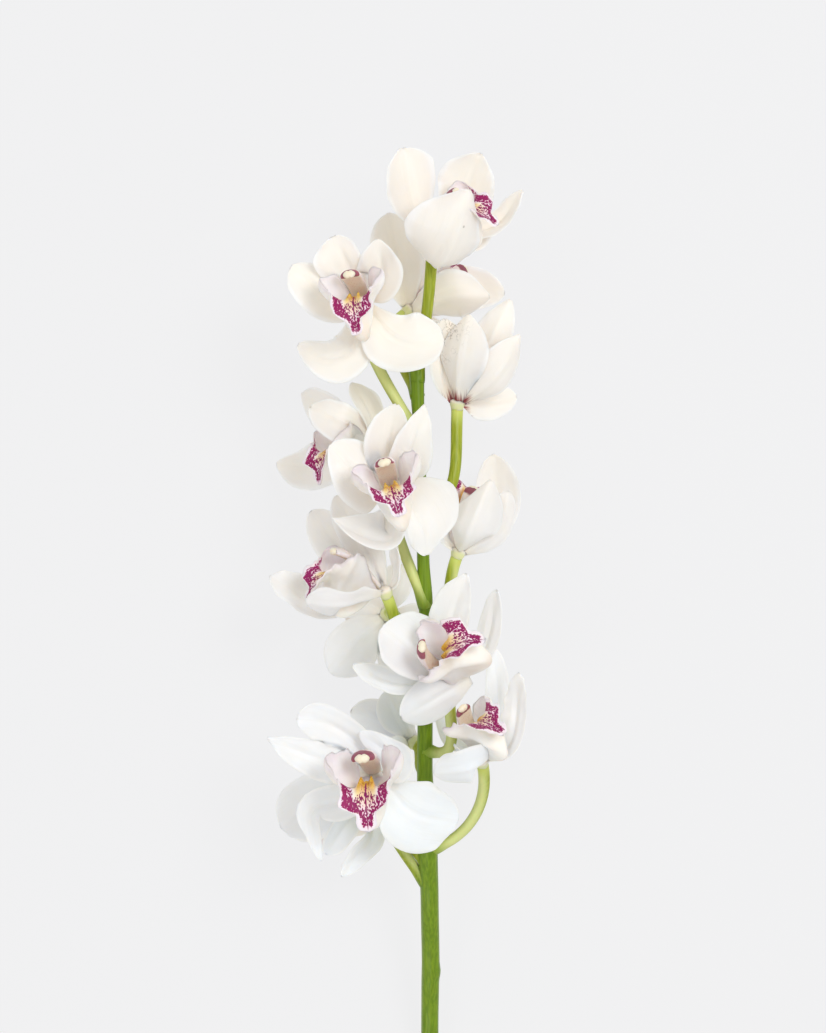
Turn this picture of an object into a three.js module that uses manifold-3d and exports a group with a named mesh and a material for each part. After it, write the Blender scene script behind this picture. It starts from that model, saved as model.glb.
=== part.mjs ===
// A cut cymbidium orchid stem lying on a flat surface: a green stem with fourteen white blooms on curved
// stalks. Millimetres, +Z up. The stem runs along +Y from its cut end to the youngest bloom, and the finished
// group is moved so that its origin is the middle of its underside.
//
// Each bloom is three solids: five tepals grown together at the heart, the three-lobed lip, and the column.
// Green stem and flower stalks are one solid.

import * as THREE from "three";
import { mergeVertices } from "three/addons/utils/BufferGeometryUtils.js";
import Module from "manifold-3d";

const wasm = await Module();
wasm.setup();

// ---------------------------------------------------------------- driving dimensions

const GAP = 0.3; // clearance between neighbouring solids
const SLIVER = 0.04; // facets left over from a cut are dropped within this distance
const RIM = 0.6; // thickness of a petal at its margin
const RIB = 1.3; // thickness of a petal along its middle
const GRIDS = { petal: { rows: 4, columns: 4, ease: 1.3 }, lip: { rows: 6, columns: 6, ease: 1 } };
const REAR_GRIDS = { petal: { rows: 3, columns: 2, ease: 1.2 }, lip: { rows: 4, columns: 4, ease: 1 } };

// Stations along the stem: distance from the cut end, sideways place, height of the middle, radius.
const STEM = [
  { y: 0, x: 0, z: 4.83, r: 5 },
  { y: 40, x: 0, z: 4.83, r: 5 },
  { y: 114, x: 0.3, z: 19, r: 4.9 },
  { y: 135, x: 0.5, z: 25, r: 5 },
  { y: 141, x: 1, z: 26.7, r: 5.4 },
  { y: 147, x: 0.7, z: 28.5, r: 5 },
  { y: 185, x: 0, z: 41, r: 5 },
  { y: 212, x: -1, z: 49, r: 5.4 },
  { y: 258, x: -2.8, z: 59, r: 4.3 },
  { y: 290, x: -2.6, z: 64, r: 4.1 },
  { y: 352, x: -2.2, z: 69, r: 3.7 },
  { y: 374, x: -3.7, z: 70, r: 3.4 },
  { y: 450, x: -6.3, z: 71, r: 3.2 },
  { y: 468, x: -7, z: 71, r: 3.9 },
  { y: 482, x: -7.5, z: 71, r: 4.6 },
  { y: 490, x: -7, z: 71, r: 3.6 },
];
const STEM_SIDES = 10;
const STALK = { root: 2.9, neck: 3.3, sides: 6, steps: 4, bow: 0.42 };
const HEART = { radius: 4, depth: 5, sides: 6, top: 0.8 };
const PETAL_FOOT = { out: 3, sunk: 0.5 }; // how far from the heart's middle and below its top a petal starts

// Half width of a petal along its length, as shares of its widest; its tip rounds off from the share rounds.
const TEPAL_OUTLINE = { root: 0.2, widest: 0.56, point: 2.4, blunt: 0.58, least: 0.06, rounds: 0.8 };

const CUPPED = 0.6; // share of a petal's half width where its cup is full
const RIB_TENSION = 0.5; // how closely a petal's middle line rounds the points of its rib
const SECTION_STEPS = 12;
const MERGE = 1e-4; // points closer than this are one

const WHITE = new THREE.Color(0.93, 0.92, 0.88);
const BLUSH = new THREE.Color(0.9, 0.78, 0.8);
const CREAM = new THREE.Color(0.86, 0.72, 0.6);
const GREEN = new THREE.Color(0.3, 0.42, 0.06);

// The blooms, from the tip of the stem down. heart is where the petals meet, faces the way the bloom looks
// and lip the way its lip hangs; seat is how far the lip sits off the heart and hang lifts the lip's tip.
// root is the stalk's place along the stem, leaves the way it sets off, arrives the way it meets the heart
// and bow how far it keeps to those ways. Each petal runs over the points of its rib to its tip, given from
// the heart. half is its half width, or those of its left and right sides at five even steps; cup turns its
// left and right margins forward, in degrees. looks is the way its inner face is turned where that is not
// plainly inward. rear blooms lie under the others.
const BLOOMS = [
  {
    name: "bloom_01", heart: [1, 552, 78], faces: [0.56, 0.5, 0.66], lip: [0.6, -0.75, -0.2], size: 0.85,
    root: 472, leaves: [0.15, 1, 0.1], arrives: [0, 0.95, 0.3], bow: 0.3,
    dorsal: { rib: [[-12, 20, 6]], tip: [-17, 46, 12], half: [[8, 15, 18, 15, 8], [6, 13, 16, 17, 16]],
      cup: [25, 40], looks: [0.5, -0.2, 0.85] },
    petal_left: { rib: [[2, -18, 14], [12, -5, 31]], tip: [20, 21, 34],
      half: [[10, 16, 20, 15, 6], [12, 23, 29, 24, 9]], cup: [30, 30] },
    petal_right: { rib: [[17, 22, -8]], tip: [27, 45, -4],
      half: [[8, 16, 20, 18, 11], [8, 14, 16, 13, 6]], cup: [30, 25] },
    sepal_left: { rib: [[33, 5, -10]], tip: [50, 25, -4], half: [[6, 8, 8, 7, 4], [6, 9, 9, 8, 5]],
      cup: [20, 20], looks: [-0.6, 0.3, 0.7] },
    sepal_right: { rib: [[20, -2, -12]], tip: [30, 10, -20], half: 10, cup: [20, 20] },
  },
  {
    name: "bloom_02", heart: [-11, 513, 44], faces: [0.75, 0.5, -0.3], lip: [-0.2, -0.2, -0.95], size: 0.8,
    rear: true, seat: [5, 6, -2], root: 464, leaves: [-0.3, 0.8, -0.5], bow: 0.35,
    dorsal: { rib: [[18, -8, -14]], tip: [32, -12, -22], half: 10, cup: [20, 20] },
    petal_left: { rib: [[-7, 26, 2]], tip: [-12, 54, 4], half: 16, cup: [20, 20], looks: [0.2, 0, 1] },
    petal_right: { rib: [[30, 14, -32]], tip: [54, 12, -30], half: 14, cup: [15, 15], looks: [-0.2, 0, 1] },
    sepal_left: { rib: [[5, 24, -24]], tip: [8, 44, -32], half: 10, cup: [20, 20] },
    sepal_right: { rib: [[24, 6, 17]], tip: [44, 7, 14], half: [[9, 15, 17, 13, 6], [10, 15, 17, 13, 5]],
      cup: [35, 35] },
  },
  {
    name: "bloom_03", heart: [-36, 514, 92], faces: [-0.17, 0.12, 0.98], lip: [0.17, -1, 0], size: 0.94,
    hang: -2, root: 442, leaves: [-0.5, 0.8, 0.2], arrives: [0.1, 0.5, 0.85],
    dorsal: { rib: [[-7, 17, 7]], tip: [-16, 35, 13], half: [[9, 14, 17, 17, 14], [7, 9, 9, 9, 7]],
      cup: [20, 20] },
    petal_left: { rib: [[-19, 3, 6]], tip: [-39, 19, 7], half: [[12, 15, 14, 12, 9], [10, 13, 12, 9, 7]],
      cup: [15, 15] },
    petal_right: { rib: [[10, 14, 10]], tip: [8, 33, 15], half: [[9, 13, 14, 11, 6], [9, 12, 12, 8, 4]],
      cup: [10, 15], looks: [-0.2, 0, 1] },
    sepal_left: { rib: [[-6, -25, 3], [-20, -31, 3]], tip: [-36, -23, -1],
      half: [[6, 12, 14, 8, 5], [8, 12, 11, 9, 6]], cup: [10, 20], looks: [0, 0.1, 1] },
    sepal_right: { rib: [[14, -17, 4], [28, -22, 5]], tip: [43, -18, 2],
      half: [[8, 13, 16, 16, 12], [12, 19, 18, 13, 9]], cup: [10, 20], looks: [0, 0, 1] },
  },
  {
    name: "bloom_04", heart: [15, 461, 74], faces: [0.45, 0.8, -0.35], lip: [-0.2, -0.2, -1], size: 0.9,
    root: 405, leaves: [1, 0, 0.7], arrives: [0.05, 1, 0], bow: 0.5,
    dorsal: { rib: [[1, 22, 15]], tip: [6, 47, 12], half: [[8, 14, 16, 12, 6], [8, 14, 15, 11, 5]],
      cup: [25, 25] },
    petal_left: { rib: [[16, 28, 6]], tip: [29, 56, 4], half: [[8, 12, 12, 9, 5], [7, 11, 12, 9, 4]],
      cup: [20, 20] },
    petal_right: { rib: [[20, 13, 14]], tip: [34, 36, 10], half: [[8, 12, 12, 10, 5], [8, 12, 13, 9, 4]],
      cup: [25, 25] },
    sepal_left: { rib: [[17, 0, -12]], tip: [33, 3, -14], half: [[8, 10, 11, 9, 6], [8, 10, 10, 8, 5]],
      cup: [10, 10], looks: [0, 0, 1] },
    sepal_right: { rib: [[-8, 18, 2]], tip: [-7, 45, 4], half: [[7, 9, 9, 9, 7], [9, 12, 13, 12, 8]],
      cup: [20, 20], looks: [0.3, 0, 0.9] },
  },
  {
    name: "bloom_05", heart: [-21, 412, 90], faces: [-0.03, 0.16, 0.98], lip: [0.27, -0.96, 0], size: 1,
    hang: 3.5, root: 348, leaves: [-0.35, 0.9, 0.2], arrives: [0.05, 0.5, 0.85],
    dorsal: { rib: [[-1, 24, 8]], tip: [3, 46, 14], half: [[9, 14, 15, 12, 8], [8, 12, 12, 9, 6]],
      cup: [25, 25] },
    petal_left: { rib: [[-17, 8, 8]], tip: [-33, 25, 11],
      half: [[17, 19, 15, 10, 6], [10, 16, 17, 13, 9]], cup: [20, 10] },
    petal_right: { rib: [[11, 22, 14]], tip: [18, 46, 15], half: [[8, 12, 11, 7, 3], [11, 13, 11, 7, 3]],
      cup: [5, 10], looks: [0.35, 0, 0.94] },
    sepal_left: { rib: [[1, -25, 5], [-12, -26, 9]], tip: [-32, -15, 11],
      half: [[6, 8, 8, 6, 2], [10, 16, 16, 10, 2]], cup: [50, 15], looks: [0, 0.3, 1] },
    sepal_right: { rib: [[10, -9, 6], [17, -20, 7]], tip: [19, -35, 3],
      half: [[18, 26, 21, 9, 5], [6, 8, 10, 9, 6]], cup: [15, 15], looks: [0.1, 0, 1] },
  },
  {
    name: "bloom_06", heart: [-30, 437, 50], faces: [-0.82, 0.06, 0.55], lip: [0.05, -1, 0], size: 0.9,
    seat: [0.5, -1, -3], root: 415, leaves: [-0.9, 0.3, -0.3], bow: 0.35,
    dorsal: { rib: [[-18, 13, 19]], tip: [-36, 21, 14], half: [[11, 15, 14, 11, 7], [7, 9, 10, 9, 6]],
      cup: [10, 15], looks: [0.1, 0.4, 0.9] },
    petal_left: { rib: [[-24, 18, -26]], tip: [-43, 31, -42], half: 12, cup: [15, 15] },
    petal_right: { rib: [[-4, 20, 6]], tip: [-13, 35, 6], half: 10, cup: [15, 15], looks: [0.6, 0.3, 0.7] },
    sepal_left: { rib: [[-36, -10, -26]], tip: [-57, -9, -34],
      half: [[8, 14, 16, 13, 8], [8, 12, 13, 9, 5]], cup: [15, 15] },
    sepal_right: { rib: [[-4, -21, 12]], tip: [-8, -36, 10], half: 10, cup: [10, 10] },
  },
  {
    name: "bloom_07", heart: [16, 379, 60], faces: [0.3, 0.85, -0.1], lip: [-0.2, -0.1, -0.95], size: 0.85,
    seat: [-4, 3.5, 0], rear: true, root: 318, leaves: [0.7, 0.6, -0.3],
    dorsal: { rib: [[21, 12, 2]], tip: [27, 33, 4], half: 10, cup: [20, 20], looks: [-0.4, 0, -0.9] },
    petal_left: { rib: [[21, 24, -27]], tip: [20, 54, -30], half: 14, cup: [20, 20], looks: [0, 0, 1] },
    petal_right: { rib: [[6, 12, 18]], tip: [17, 39, 16], half: [[9, 16, 18, 15, 8], [9, 14, 13, 7, 3]],
      cup: [35, 35] },
    sepal_left: { rib: [[5, 10, -30]], tip: [12, 26, -61], half: 10, cup: [15, 15] },
    sepal_right: { rib: [[-10, 12, 6]], tip: [-8, 30, 8], half: 8, cup: [15, 15], looks: [0.8, 0, 0.5] },
  },
  {
    name: "bloom_08", heart: [-25, 358, 80], faces: [-0.8, 0.37, 0.46], lip: [-0.4, -0.88, 0.1], size: 0.9,
    seat: [-3, 1, -3], root: 300, leaves: [-0.4, 0.5, 0.5], arrives: [-0.35, 0.9, 0.3],
    dorsal: { rib: [[-13, 28, -6]], tip: [-27, 51, -6], half: 11, cup: [15, 15], looks: [0.2, -0.3, 0.9] },
    petal_left: { rib: [[-27, 26, -20]], tip: [-41, 43, -24], half: 13, cup: [15, 15], looks: [0, 0, 1] },
    petal_right: { rib: [[8, 8, 5]], tip: [7, 25, 5], half: 6, cup: [15, 15], looks: [-0.9, 0, 0.4] },
    sepal_left: { rib: [[-34, -8, -8]], tip: [-63, 7, -10], half: 14, cup: [15, 15] },
    sepal_right: { rib: [[-20, -7, 23]], tip: [-42, -7, 21],
      half: [[6, 9, 11, 11, 9], [9, 15, 17, 17, 12]], cup: [25, 25] },
  },
  {
    name: "bloom_09", heart: [10, 310, 82], faces: [-0.15, 0.5, 0.85], lip: [1, 0.05, 0.1], size: 1,
    root: 269, leaves: [1, -0.35, 0.3], arrives: [0, 0.9, 0.4], bow: 0.55,
    dorsal: { rib: [[-18, 13, 6]], tip: [-36, 28, 12], half: [[10, 16, 19, 18, 13], [12, 20, 21, 18, 13]],
      cup: [20, 20] },
    petal_left: { rib: [[-28, -3, 6]], tip: [-52, 7, 2], half: 8, cup: [15, 15] },
    petal_right: { rib: [[1, 27, 4]], tip: [10, 57, 6], half: [[8, 12, 13, 11, 5], [8, 10, 10, 7, 4]],
      cup: [15, 15] },
    sepal_left: { start: [12, 0, -1], rib: [[-5, -9, 6]], tip: [-26, -21, 9], half: 13, cup: [0, 0],
      root: 0.3, looks: [0.1, -0.3, 0.9] },
    sepal_right: { rib: [[19, 15, 2]], tip: [27, 48, 6], half: 8, cup: [10, 10] },
  },
  {
    name: "bloom_10", heart: [-24, 343, 36], faces: [-0.3, -0.2, -0.9], lip: [0.3, -1, 0], size: 0.8,
    rear: true, root: 322, leaves: [-0.8, 0.5, -0.3], bow: 0.3,
    dorsal: { rib: [[4, 14, -6]], tip: [8, 28, -10], half: 10, cup: [10, 10] },
    petal_left: { rib: [[-18, 8, -8]], tip: [-34, 14, -16], half: 12, cup: [10, 10] },
    petal_right: { rib: [[16, -4, -8]], tip: [30, -6, -16], half: 11, cup: [10, 10] },
    sepal_left: { rib: [[-15, -14, 0]], tip: [-31, -34, -4], half: 15, cup: [10, 10] },
    sepal_right: { rib: [[4, -20, -6]], tip: [8, -38, -14], half: 11, cup: [10, 10] },
  },
  {
    name: "bloom_11", heart: [28, 265, 76], faces: [-0.16, 0.7, 0.7], lip: [0.65, -0.75, 0.1], size: 0.86,
    hang: -4, seat: [0, 3, -2], root: 212, leaves: [1, 0.3, 0.2], bow: 0.44,
    dorsal: { rib: [[-14, 10, -20]], tip: [-22, 32, -26], half: 8, cup: [15, 15] },
    petal_left: { rib: [[-10, 2, 10]], tip: [-15, 9, 14], half: 5, cup: [15, 15] },
    petal_right: { rib: [[9, 30, -14]], tip: [8, 60, -10], half: 7, cup: [15, 15], looks: [0, 0, 1] },
    sepal_left: { start: [6, 5, 2], rib: [[-5, -2, 24]], tip: [-26, -6, 18], half: 12, cup: [15, 15],
      root: 0.7, looks: [0, 0.5, -0.8] },
    sepal_right: { rib: [[17, 13, 14]], tip: [20, 48, 12], half: 9, cup: [15, 15],
      looks: [-0.7, 0.1, 0.7] },
  },
  {
    name: "bloom_12", heart: [-29, 257, 88], faces: [-0.1, 0, 0.98], lip: [0.1, -0.99, 0], size: 1.12,
    seat: [-2, 3, 0], root: 190, leaves: [-0.6, 0.8, 0.1], arrives: [0, 0.6, 0.8],
    dorsal: { rib: [[-10, 18, 6], [-25, 29, 10]], tip: [-43, 33, 12],
      half: [[7, 9, 11, 11, 9], [7, 9, 10, 11, 10]], cup: [15, 15] },
    petal_left: { rib: [[-28, 9, 6]], tip: [-59, 21, 8], half: [[9, 12, 11, 8, 3], [8, 11, 9, 6, 3]],
      cup: [15, 15] },
    petal_right: { rib: [[10, 9, 9]], tip: [-9, 25, 14], half: [[5, 6, 6, 5, 4], [9, 11, 8, 6, 4]],
      cup: [10, 10], looks: [-0.2, 0.1, 1] },
    sepal_left: { rib: [[-19, -13, 6], [-34, -18, 7], [-34, -32, 9]], tip: [-30, -45, 10],
      half: [[10, 10, 5, 4, 3], [9, 11, 9, 4, 3]], cup: [10, 15], looks: [0, 0, 1] },
    sepal_right: { rib: [[21, -19, 0]], tip: [44, -25, -6],
      half: [[10, 18, 18, 15, 11], [12, 21, 23, 19, 13]], cup: [10, 10] },
  },
  {
    name: "bloom_13", heart: [-36, 240, 38], faces: [-0.6, -0.3, -0.3], lip: [0.2, -0.6, -0.4], size: 0.8,
    rear: true, root: 204, leaves: [-0.8, 0.4, -0.3], bow: 0.3,
    dorsal: { rib: [[-25, -2, 8]], tip: [-47, -16, 6], half: 19, cup: [20, 20], looks: [0, 0, 1] },
    petal_left: { rib: [[-10, 16, -14]], tip: [-28, 20, -24], half: 12, cup: [15, 15] },
    petal_right: { rib: [[-12, -15, 14]], tip: [-22, -30, 12], half: 9, cup: [15, 15],
      looks: [0.5, 0, 0.8] },
    sepal_left: { rib: [[-10, -4, -20]], tip: [-30, -10, -29], half: 11, cup: [15, 15] },
    sepal_right: { rib: [[4, -20, 6], [-4, -30, 12]], tip: [-13, -42, 16],
      half: [[5, 7, 7, 6, 4], [5, 6, 6, 5, 4]], cup: [15, 30], looks: [0.3, 0, 0.9] },
  },
  {
    name: "bloom_14", heart: [-10, 272, 40], faces: [-0.6, 0.4, -0.6], lip: [-0.4, -0.7, 0.2], size: 0.75,
    rear: true, root: 256, leaves: [-0.8, 0.4, -0.4], bow: 0.3,
    dorsal: { rib: [[-6, 14, 6]], tip: [-14, 29, 4], half: 12, cup: [15, 15] },
    petal_left: { rib: [[-4, 14, -12]], tip: [-16, 30, -22], half: 11, cup: [15, 15] },
    petal_right: { rib: [[-18, 12, 2]], tip: [-34, 17, 0], half: 11, cup: [15, 15] },
    sepal_left: { rib: [[-10, -8, -14]], tip: [-28, -12, -24], half: 11, cup: [15, 15] },
    sepal_right: { rib: [[-10, -6, 8]], tip: [-16, -26, 6], half: 12, cup: [15, 15] },
  },
];

// ---------------------------------------------------------------- small helpers

const vec = (a) => new THREE.Vector3(...a);
const radians = THREE.MathUtils.degToRad;
const mix = (a, b, t) => a + (b - a) * t;
const clamp = (x, low, high) => Math.min(high, Math.max(low, x));

function smooth(low, high, x) {
  const t = clamp((x - low) / (high - low), 0, 1);
  return t * t * (3 - 2 * t);
}

// A smooth curve through evenly spaced values.
function through(values, t) {
  const last = values.length - 1;
  const place = Math.min(last - 1e-9, Math.max(0, t * last));
  const k = Math.floor(place);
  const s = place - k;
  const at = (i) => values[Math.min(last, Math.max(0, i))];
  const [a, b, c, d] = [at(k - 1), at(k), at(k + 1), at(k + 2)];
  return b + 0.5 * s * (c - a + s * (2 * a - 5 * b + 4 * c - d + s * (3 * (b - c) + d - a)));
}

// The straight line between the nearest two of evenly spaced values.
function straight(values, t) {
  const k = Math.min(values.length - 2, Math.floor(t * (values.length - 1)));
  return mix(values[k], values[k + 1], t * (values.length - 1) - k);
}

function solidOf(geometry) {
  const bare = new THREE.BufferGeometry();
  bare.setAttribute("position", geometry.getAttribute("position").clone());
  bare.setIndex(geometry.index);
  const merged = mergeVertices(bare, MERGE);
  return new wasm.Manifold(
    new wasm.Mesh({
      numProp: 3,
      vertProperties: new Float32Array(merged.attributes.position.array),
      triVerts: new Uint32Array(merged.index.array),
    }),
  );
}

function geometryOf(solid) {
  const mesh = solid.getMesh();
  const geometry = new THREE.BufferGeometry();
  geometry.setAttribute("position", new THREE.BufferAttribute(mesh.vertProperties, 3));
  geometry.setIndex(new THREE.BufferAttribute(mesh.triVerts, 1));
  geometry.computeVertexNormals();
  return geometry;
}

function join(solids) {
  return solids.reduce((sum, next) => sum.add(next));
}

// The main body of a solid, without the slivers a cut leaves beside it.
function largest(solid) {
  return solid.decompose().reduce((best, next) => (next.volume() > best.volume() ? next : best));
}

// Rings of points, each ring with the same count, closed at both ends by a point in its middle.
function loft(rings) {
  const count = rings[0].length;
  const points = rings.flat();
  const faces = [];
  for (let j = 0; j < rings.length - 1; j++) {
    for (let i = 0; i < count; i++) {
      const next = (i + 1) % count;
      const [a, b, c, d] = [j * count + i, j * count + next, (j + 1) * count + next, (j + 1) * count + i];
      faces.push(a, b, c, a, c, d);
    }
  }
  for (const [ring, outward] of [[0, false], [rings.length - 1, true]]) {
    const middle = points.length;
    points.push(rings[ring].reduce((s, p) => s.add(p), new THREE.Vector3()).divideScalar(count));
    for (let i = 0; i < count; i++) {
      const [a, b] = [ring * count + i, ring * count + ((i + 1) % count)];
      faces.push(...(outward ? [a, b, middle] : [b, a, middle]));
    }
  }
  return indexed(points, faces);
}

function indexed(points, faces) {
  const geometry = new THREE.BufferGeometry();
  geometry.setAttribute("position", new THREE.Float32BufferAttribute(points.flatMap((p) => p.toArray()), 3));
  geometry.setIndex(faces);
  return geometry;
}

// ---------------------------------------------------------------- blades: petals and lips

// The turn of a petal's section from its middle to one margin, forward by cup degrees.
function petalTurn(cup) {
  return (s) => cup * Math.sin((Math.min(s / CUPPED, 1) * Math.PI) / 2);
}

// Where a section that turns by turn(s) degrees has come to at a share of its length.
function section(share, turn) {
  let [across, up] = [0, 0];
  for (let k = 0; k < SECTION_STEPS; k++) {
    const angle = radians(turn(((k + 0.5) / SECTION_STEPS) * share));
    across += (Math.cos(angle) * share) / SECTION_STEPS;
    up += (Math.sin(angle) * share) / SECTION_STEPS;
  }
  return { across, up };
}

// A thin closed solid over a grid. place(t) gives the middle line's point and the directions to the right and
// up from it; shape(t, side) gives the half width, the turn of the section and its spread on that side. grow
// thickens it and lengthens its foot.
function blade({ rows, columns, ease }, place, shape, grow) {
  const width = columns + 1;
  const sheet = [];
  for (let j = 0; j <= rows; j++) {
    const t = 1 - (1 - j / rows) ** ease;
    const { point, right, rise } = place(t);
    for (let i = 0; i <= columns; i++) {
      const v = (2 * i) / columns - 1;
      const side = v < 0 ? -1 : 1;
      const { half, turn, spread } = shape(t, side);
      const { across, up } = section(Math.abs(v), turn);
      const out = side * across * half * spread;
      sheet.push(point.clone().addScaledVector(right, out).addScaledVector(rise, up * half));
    }
  }
  for (let i = 0; grow && i <= columns; i++) {
    const [first, second] = [sheet[i], sheet[width + i]];
    first.addScaledVector(first.clone().sub(second).normalize(), 2 * grow);
  }
  const at = (j, i) => sheet[clamp(j, 0, rows) * width + clamp(i, 0, columns)];
  const inner = [];
  const outer = [];
  for (let j = 0; j <= rows; j++) {
    for (let i = 0; i <= columns; i++) {
      const along = at(j + 1, i).clone().sub(at(j - 1, i));
      const normal = at(j, i + 1).clone().sub(at(j, i - 1)).cross(along).normalize();
      const thick = mix(RIB, RIM, Math.abs((2 * i) / columns - 1)) / 2 + grow;
      inner.push(at(j, i).clone().addScaledVector(normal, thick));
      outer.push(at(j, i).clone().addScaledVector(normal, -thick));
    }
  }
  return closedSheet(inner, outer, rows, columns);
}

function closedSheet(inner, outer, rows, columns) {
  const width = columns + 1;
  const shift = inner.length;
  const faces = [];
  const quad = (a, b, c, d) => faces.push(a, b, c, a, c, d);
  for (let j = 0; j < rows; j++) {
    for (let i = 0; i < columns; i++) {
      const a = j * width + i;
      quad(a, a + 1, a + width + 1, a + width);
      faces.push(a + shift, a + shift + width + 1, a + shift + 1);
      faces.push(a + shift, a + shift + width, a + shift + width + 1);
    }
    const [left, right] = [j * width, j * width + columns];
    quad(left, left + width, left + width + shift, left + shift);
    quad(right, right + shift, right + width + shift, right + width);
  }
  for (let i = 0; i < columns; i++) {
    const tip = rows * width + i;
    quad(i, i + shift, i + 1 + shift, i + 1);
    quad(tip, tip + 1, tip + 1 + shift, tip + shift);
  }
  return indexed([...inner, ...outer], faces);
}

function outline(t, root) {
  const { widest, point, blunt, least } = TEPAL_OUTLINE;
  if (t < widest) return mix(root, 1, Math.sin(((t / widest) * Math.PI) / 2));
  const s = (t - widest) / (1 - widest);
  return Math.max(least, (1 - s ** point) ** blunt);
}

// The half width of one side of a petal, from one number or from five even steps along it.
function halfWidth({ half, root = TEPAL_OUTLINE.root }, t, side) {
  if (typeof half === "number") return half * outline(t, root);
  const steps = half[(side + 1) / 2];
  const { rounds, least } = TEPAL_OUTLINE;
  const rounding = Math.sqrt(1 - clamp((t - rounds) / (1 - rounds), 0, 1) ** 2);
  const widest = Math.max(...steps);
  return Math.max(widest * least, through([widest * root, ...steps], t) * rounding);
}

// One petal of a bloom, over a curve from beside the heart along its rib to its tip.
function tepal(frame, petal, grid) {
  const first = vec(petal.rib[0]);
  const radial = first.clone().addScaledVector(frame.forward, -first.dot(frame.forward)).normalize();
  const beside = first.clone().addScaledVector(frame.stalk, -first.dot(frame.stalk));
  beside.setLength(PETAL_FOOT.out).addScaledVector(frame.stalk, -PETAL_FOOT.sunk);
  const start = petal.start ? vec(petal.start) : beside;
  const line = [start, ...petal.rib.map(vec), vec(petal.tip)];
  const rib = new THREE.CatmullRomCurve3(line, false, "catmullrom", RIB_TENSION);
  const place = (t) => {
    const along = rib.getTangentAt(t);
    const inward = radial.clone().multiplyScalar(-along.dot(frame.forward));
    inward.addScaledVector(frame.forward, along.dot(radial));
    const face = petal.looks ? vec(petal.looks) : inward;
    face.addScaledVector(along, -face.dot(along)).normalize();
    return { point: rib.getPointAt(t).add(frame.heart), right: along.clone().cross(face), rise: face };
  };
  const shape = (t, side) => ({
    half: halfWidth(petal, t, side),
    turn: petalTurn(petal.cup[(side + 1) / 2]),
    spread: 1,
  });
  return blade(grid, place, shape, 0);
}

// ---------------------------------------------------------------- the parts of a bloom

const TEPALS = ["dorsal", "petal_left", "petal_right", "sepal_left", "sepal_right"];

function frameOf(bloom) {
  const forward = vec(bloom.faces).normalize();
  const down = vec(bloom.lip);
  down.addScaledVector(forward, -down.dot(forward)).normalize();
  const up = down.clone().negate();
  const stalk = bloom.arrives ? vec(bloom.arrives).normalize() : forward;
  const heart = vec(bloom.heart);
  const seat = heart.clone().add(vec(bloom.seat ?? [0, 0, 0]));
  return { heart, seat, forward, up, right: up.clone().cross(forward), stalk };
}

// A point of the lip or the column from its right, up and forward distances.
function spot(frame, right, up, forward) {
  return frame.seat
    .clone()
    .addScaledVector(frame.right, right)
    .addScaledVector(frame.up, up)
    .addScaledVector(frame.forward, forward);
}

function ring(centre, across, up, halfWidth, halfHeight, sides, start = 0) {
  return Array.from({ length: sides }, (_, k) => {
    const angle = start + (2 * Math.PI * k) / sides;
    return centre
      .clone()
      .addScaledVector(across, halfWidth * Math.cos(angle))
      .addScaledVector(up, halfHeight * Math.sin(angle));
  });
}

function heartKnob(frame) {
  const { radius, depth, sides, top } = HEART;
  const across = frame.right.clone().addScaledVector(frame.stalk, -frame.right.dot(frame.stalk)).normalize();
  const rings = [[-depth, STALK.neck], [top, radius]].map(([forward, size]) => {
    const centre = frame.heart.clone().addScaledVector(frame.stalk, forward);
    return ring(centre, across, frame.stalk.clone().cross(across), size, size, sides);
  });
  return loft(rings);
}

// The lip at even steps from behind its foot to its tip; the solid starts foot in front of the heart. Its
// middle line runs down into the sac, forward under the column, up to the crest and over into the hanging
// lobe. lean tips its sections from up towards forward, cup bends them up and spread widens them. turns are
// the section's angles from its middle to its margin where cup is full. From the share hangs on, hang lifts
// it, and least is its smallest half width.
const LIP = {
  up: [-3.8, -9.2, -14.7, -20, -24.3, -25.8, -25, -21, -15, -9.5, -10.5, -16.5, -25.5],
  forward: [2, 3.7, 6, 9.5, 13.8, 18.3, 23, 27.2, 31, 34, 38.2, 40.4, 41],
  lean: [-10, -3, 0, 0, 0, 1.5, 5, 11, 21, 40, 60, 77, 90],
  half: [3.5, 10.5, 18, 26, 36, 43, 45, 38.5, 25, 17.5, 14.8, 9, 3],
  spread: [1, 0.85, 0.74, 0.66, 0.6, 0.62, 0.76, 1.2, 1.12, 1, 1, 1, 1],
  cup: [20, 57, 78, 88, 90, 90, 88, 83, 73, 55, 42, 28, 10],
  turns: [0, 75, 80, 48, 70, 125],
  full: 85,
  least: 2,
  hangs: 0.78,
  foot: 4.9,
};

function lip(frame, { size, hang = 0 }, grid, grow) {
  const place = (t) => {
    const lean = radians(through(LIP.lean, t));
    const rise = frame.up.clone().multiplyScalar(Math.cos(lean));
    rise.addScaledVector(frame.forward, Math.sin(lean));
    const up = through(LIP.up, t) + hang * smooth(LIP.hangs, 1, t);
    const point = spot(frame, 0, up * size, through(LIP.forward, t) * size);
    return { point, right: frame.right, rise };
  };
  const shape = (t) => ({
    half: Math.max(LIP.least, through(LIP.half, t)) * size + grow,
    turn: (s) => (straight(LIP.turns, s) * through(LIP.cup, t)) / LIP.full,
    spread: through(LIP.spread, t),
  });
  return solidOf(blade(grid, place, shape, grow));
}

// Rings of the column from its foot to the rounded hood at its end.
const COLUMN = {
  up: [0.5, 6, 8.9, 8.4],
  forward: [1.6, 15, 30, 38],
  half: [4.4, 5.2, 5.8, 5.2],
  deep: [2.4, 2.9, 3.6, 3],
  sides: 6,
};

function column(frame, { size }, grow) {
  const { up, forward, half, deep, sides } = COLUMN;
  const rings = up.map((rise, k) => {
    const along = forward[k] * size + (k ? grow : -grow);
    const centre = spot(frame, 0, rise * size, along);
    return ring(centre, frame.right, frame.up, half[k] * size + grow, deep[k] * size + grow, sides);
  });
  return solidOf(loft(rings));
}

// ---------------------------------------------------------------- stem and stalks

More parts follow.
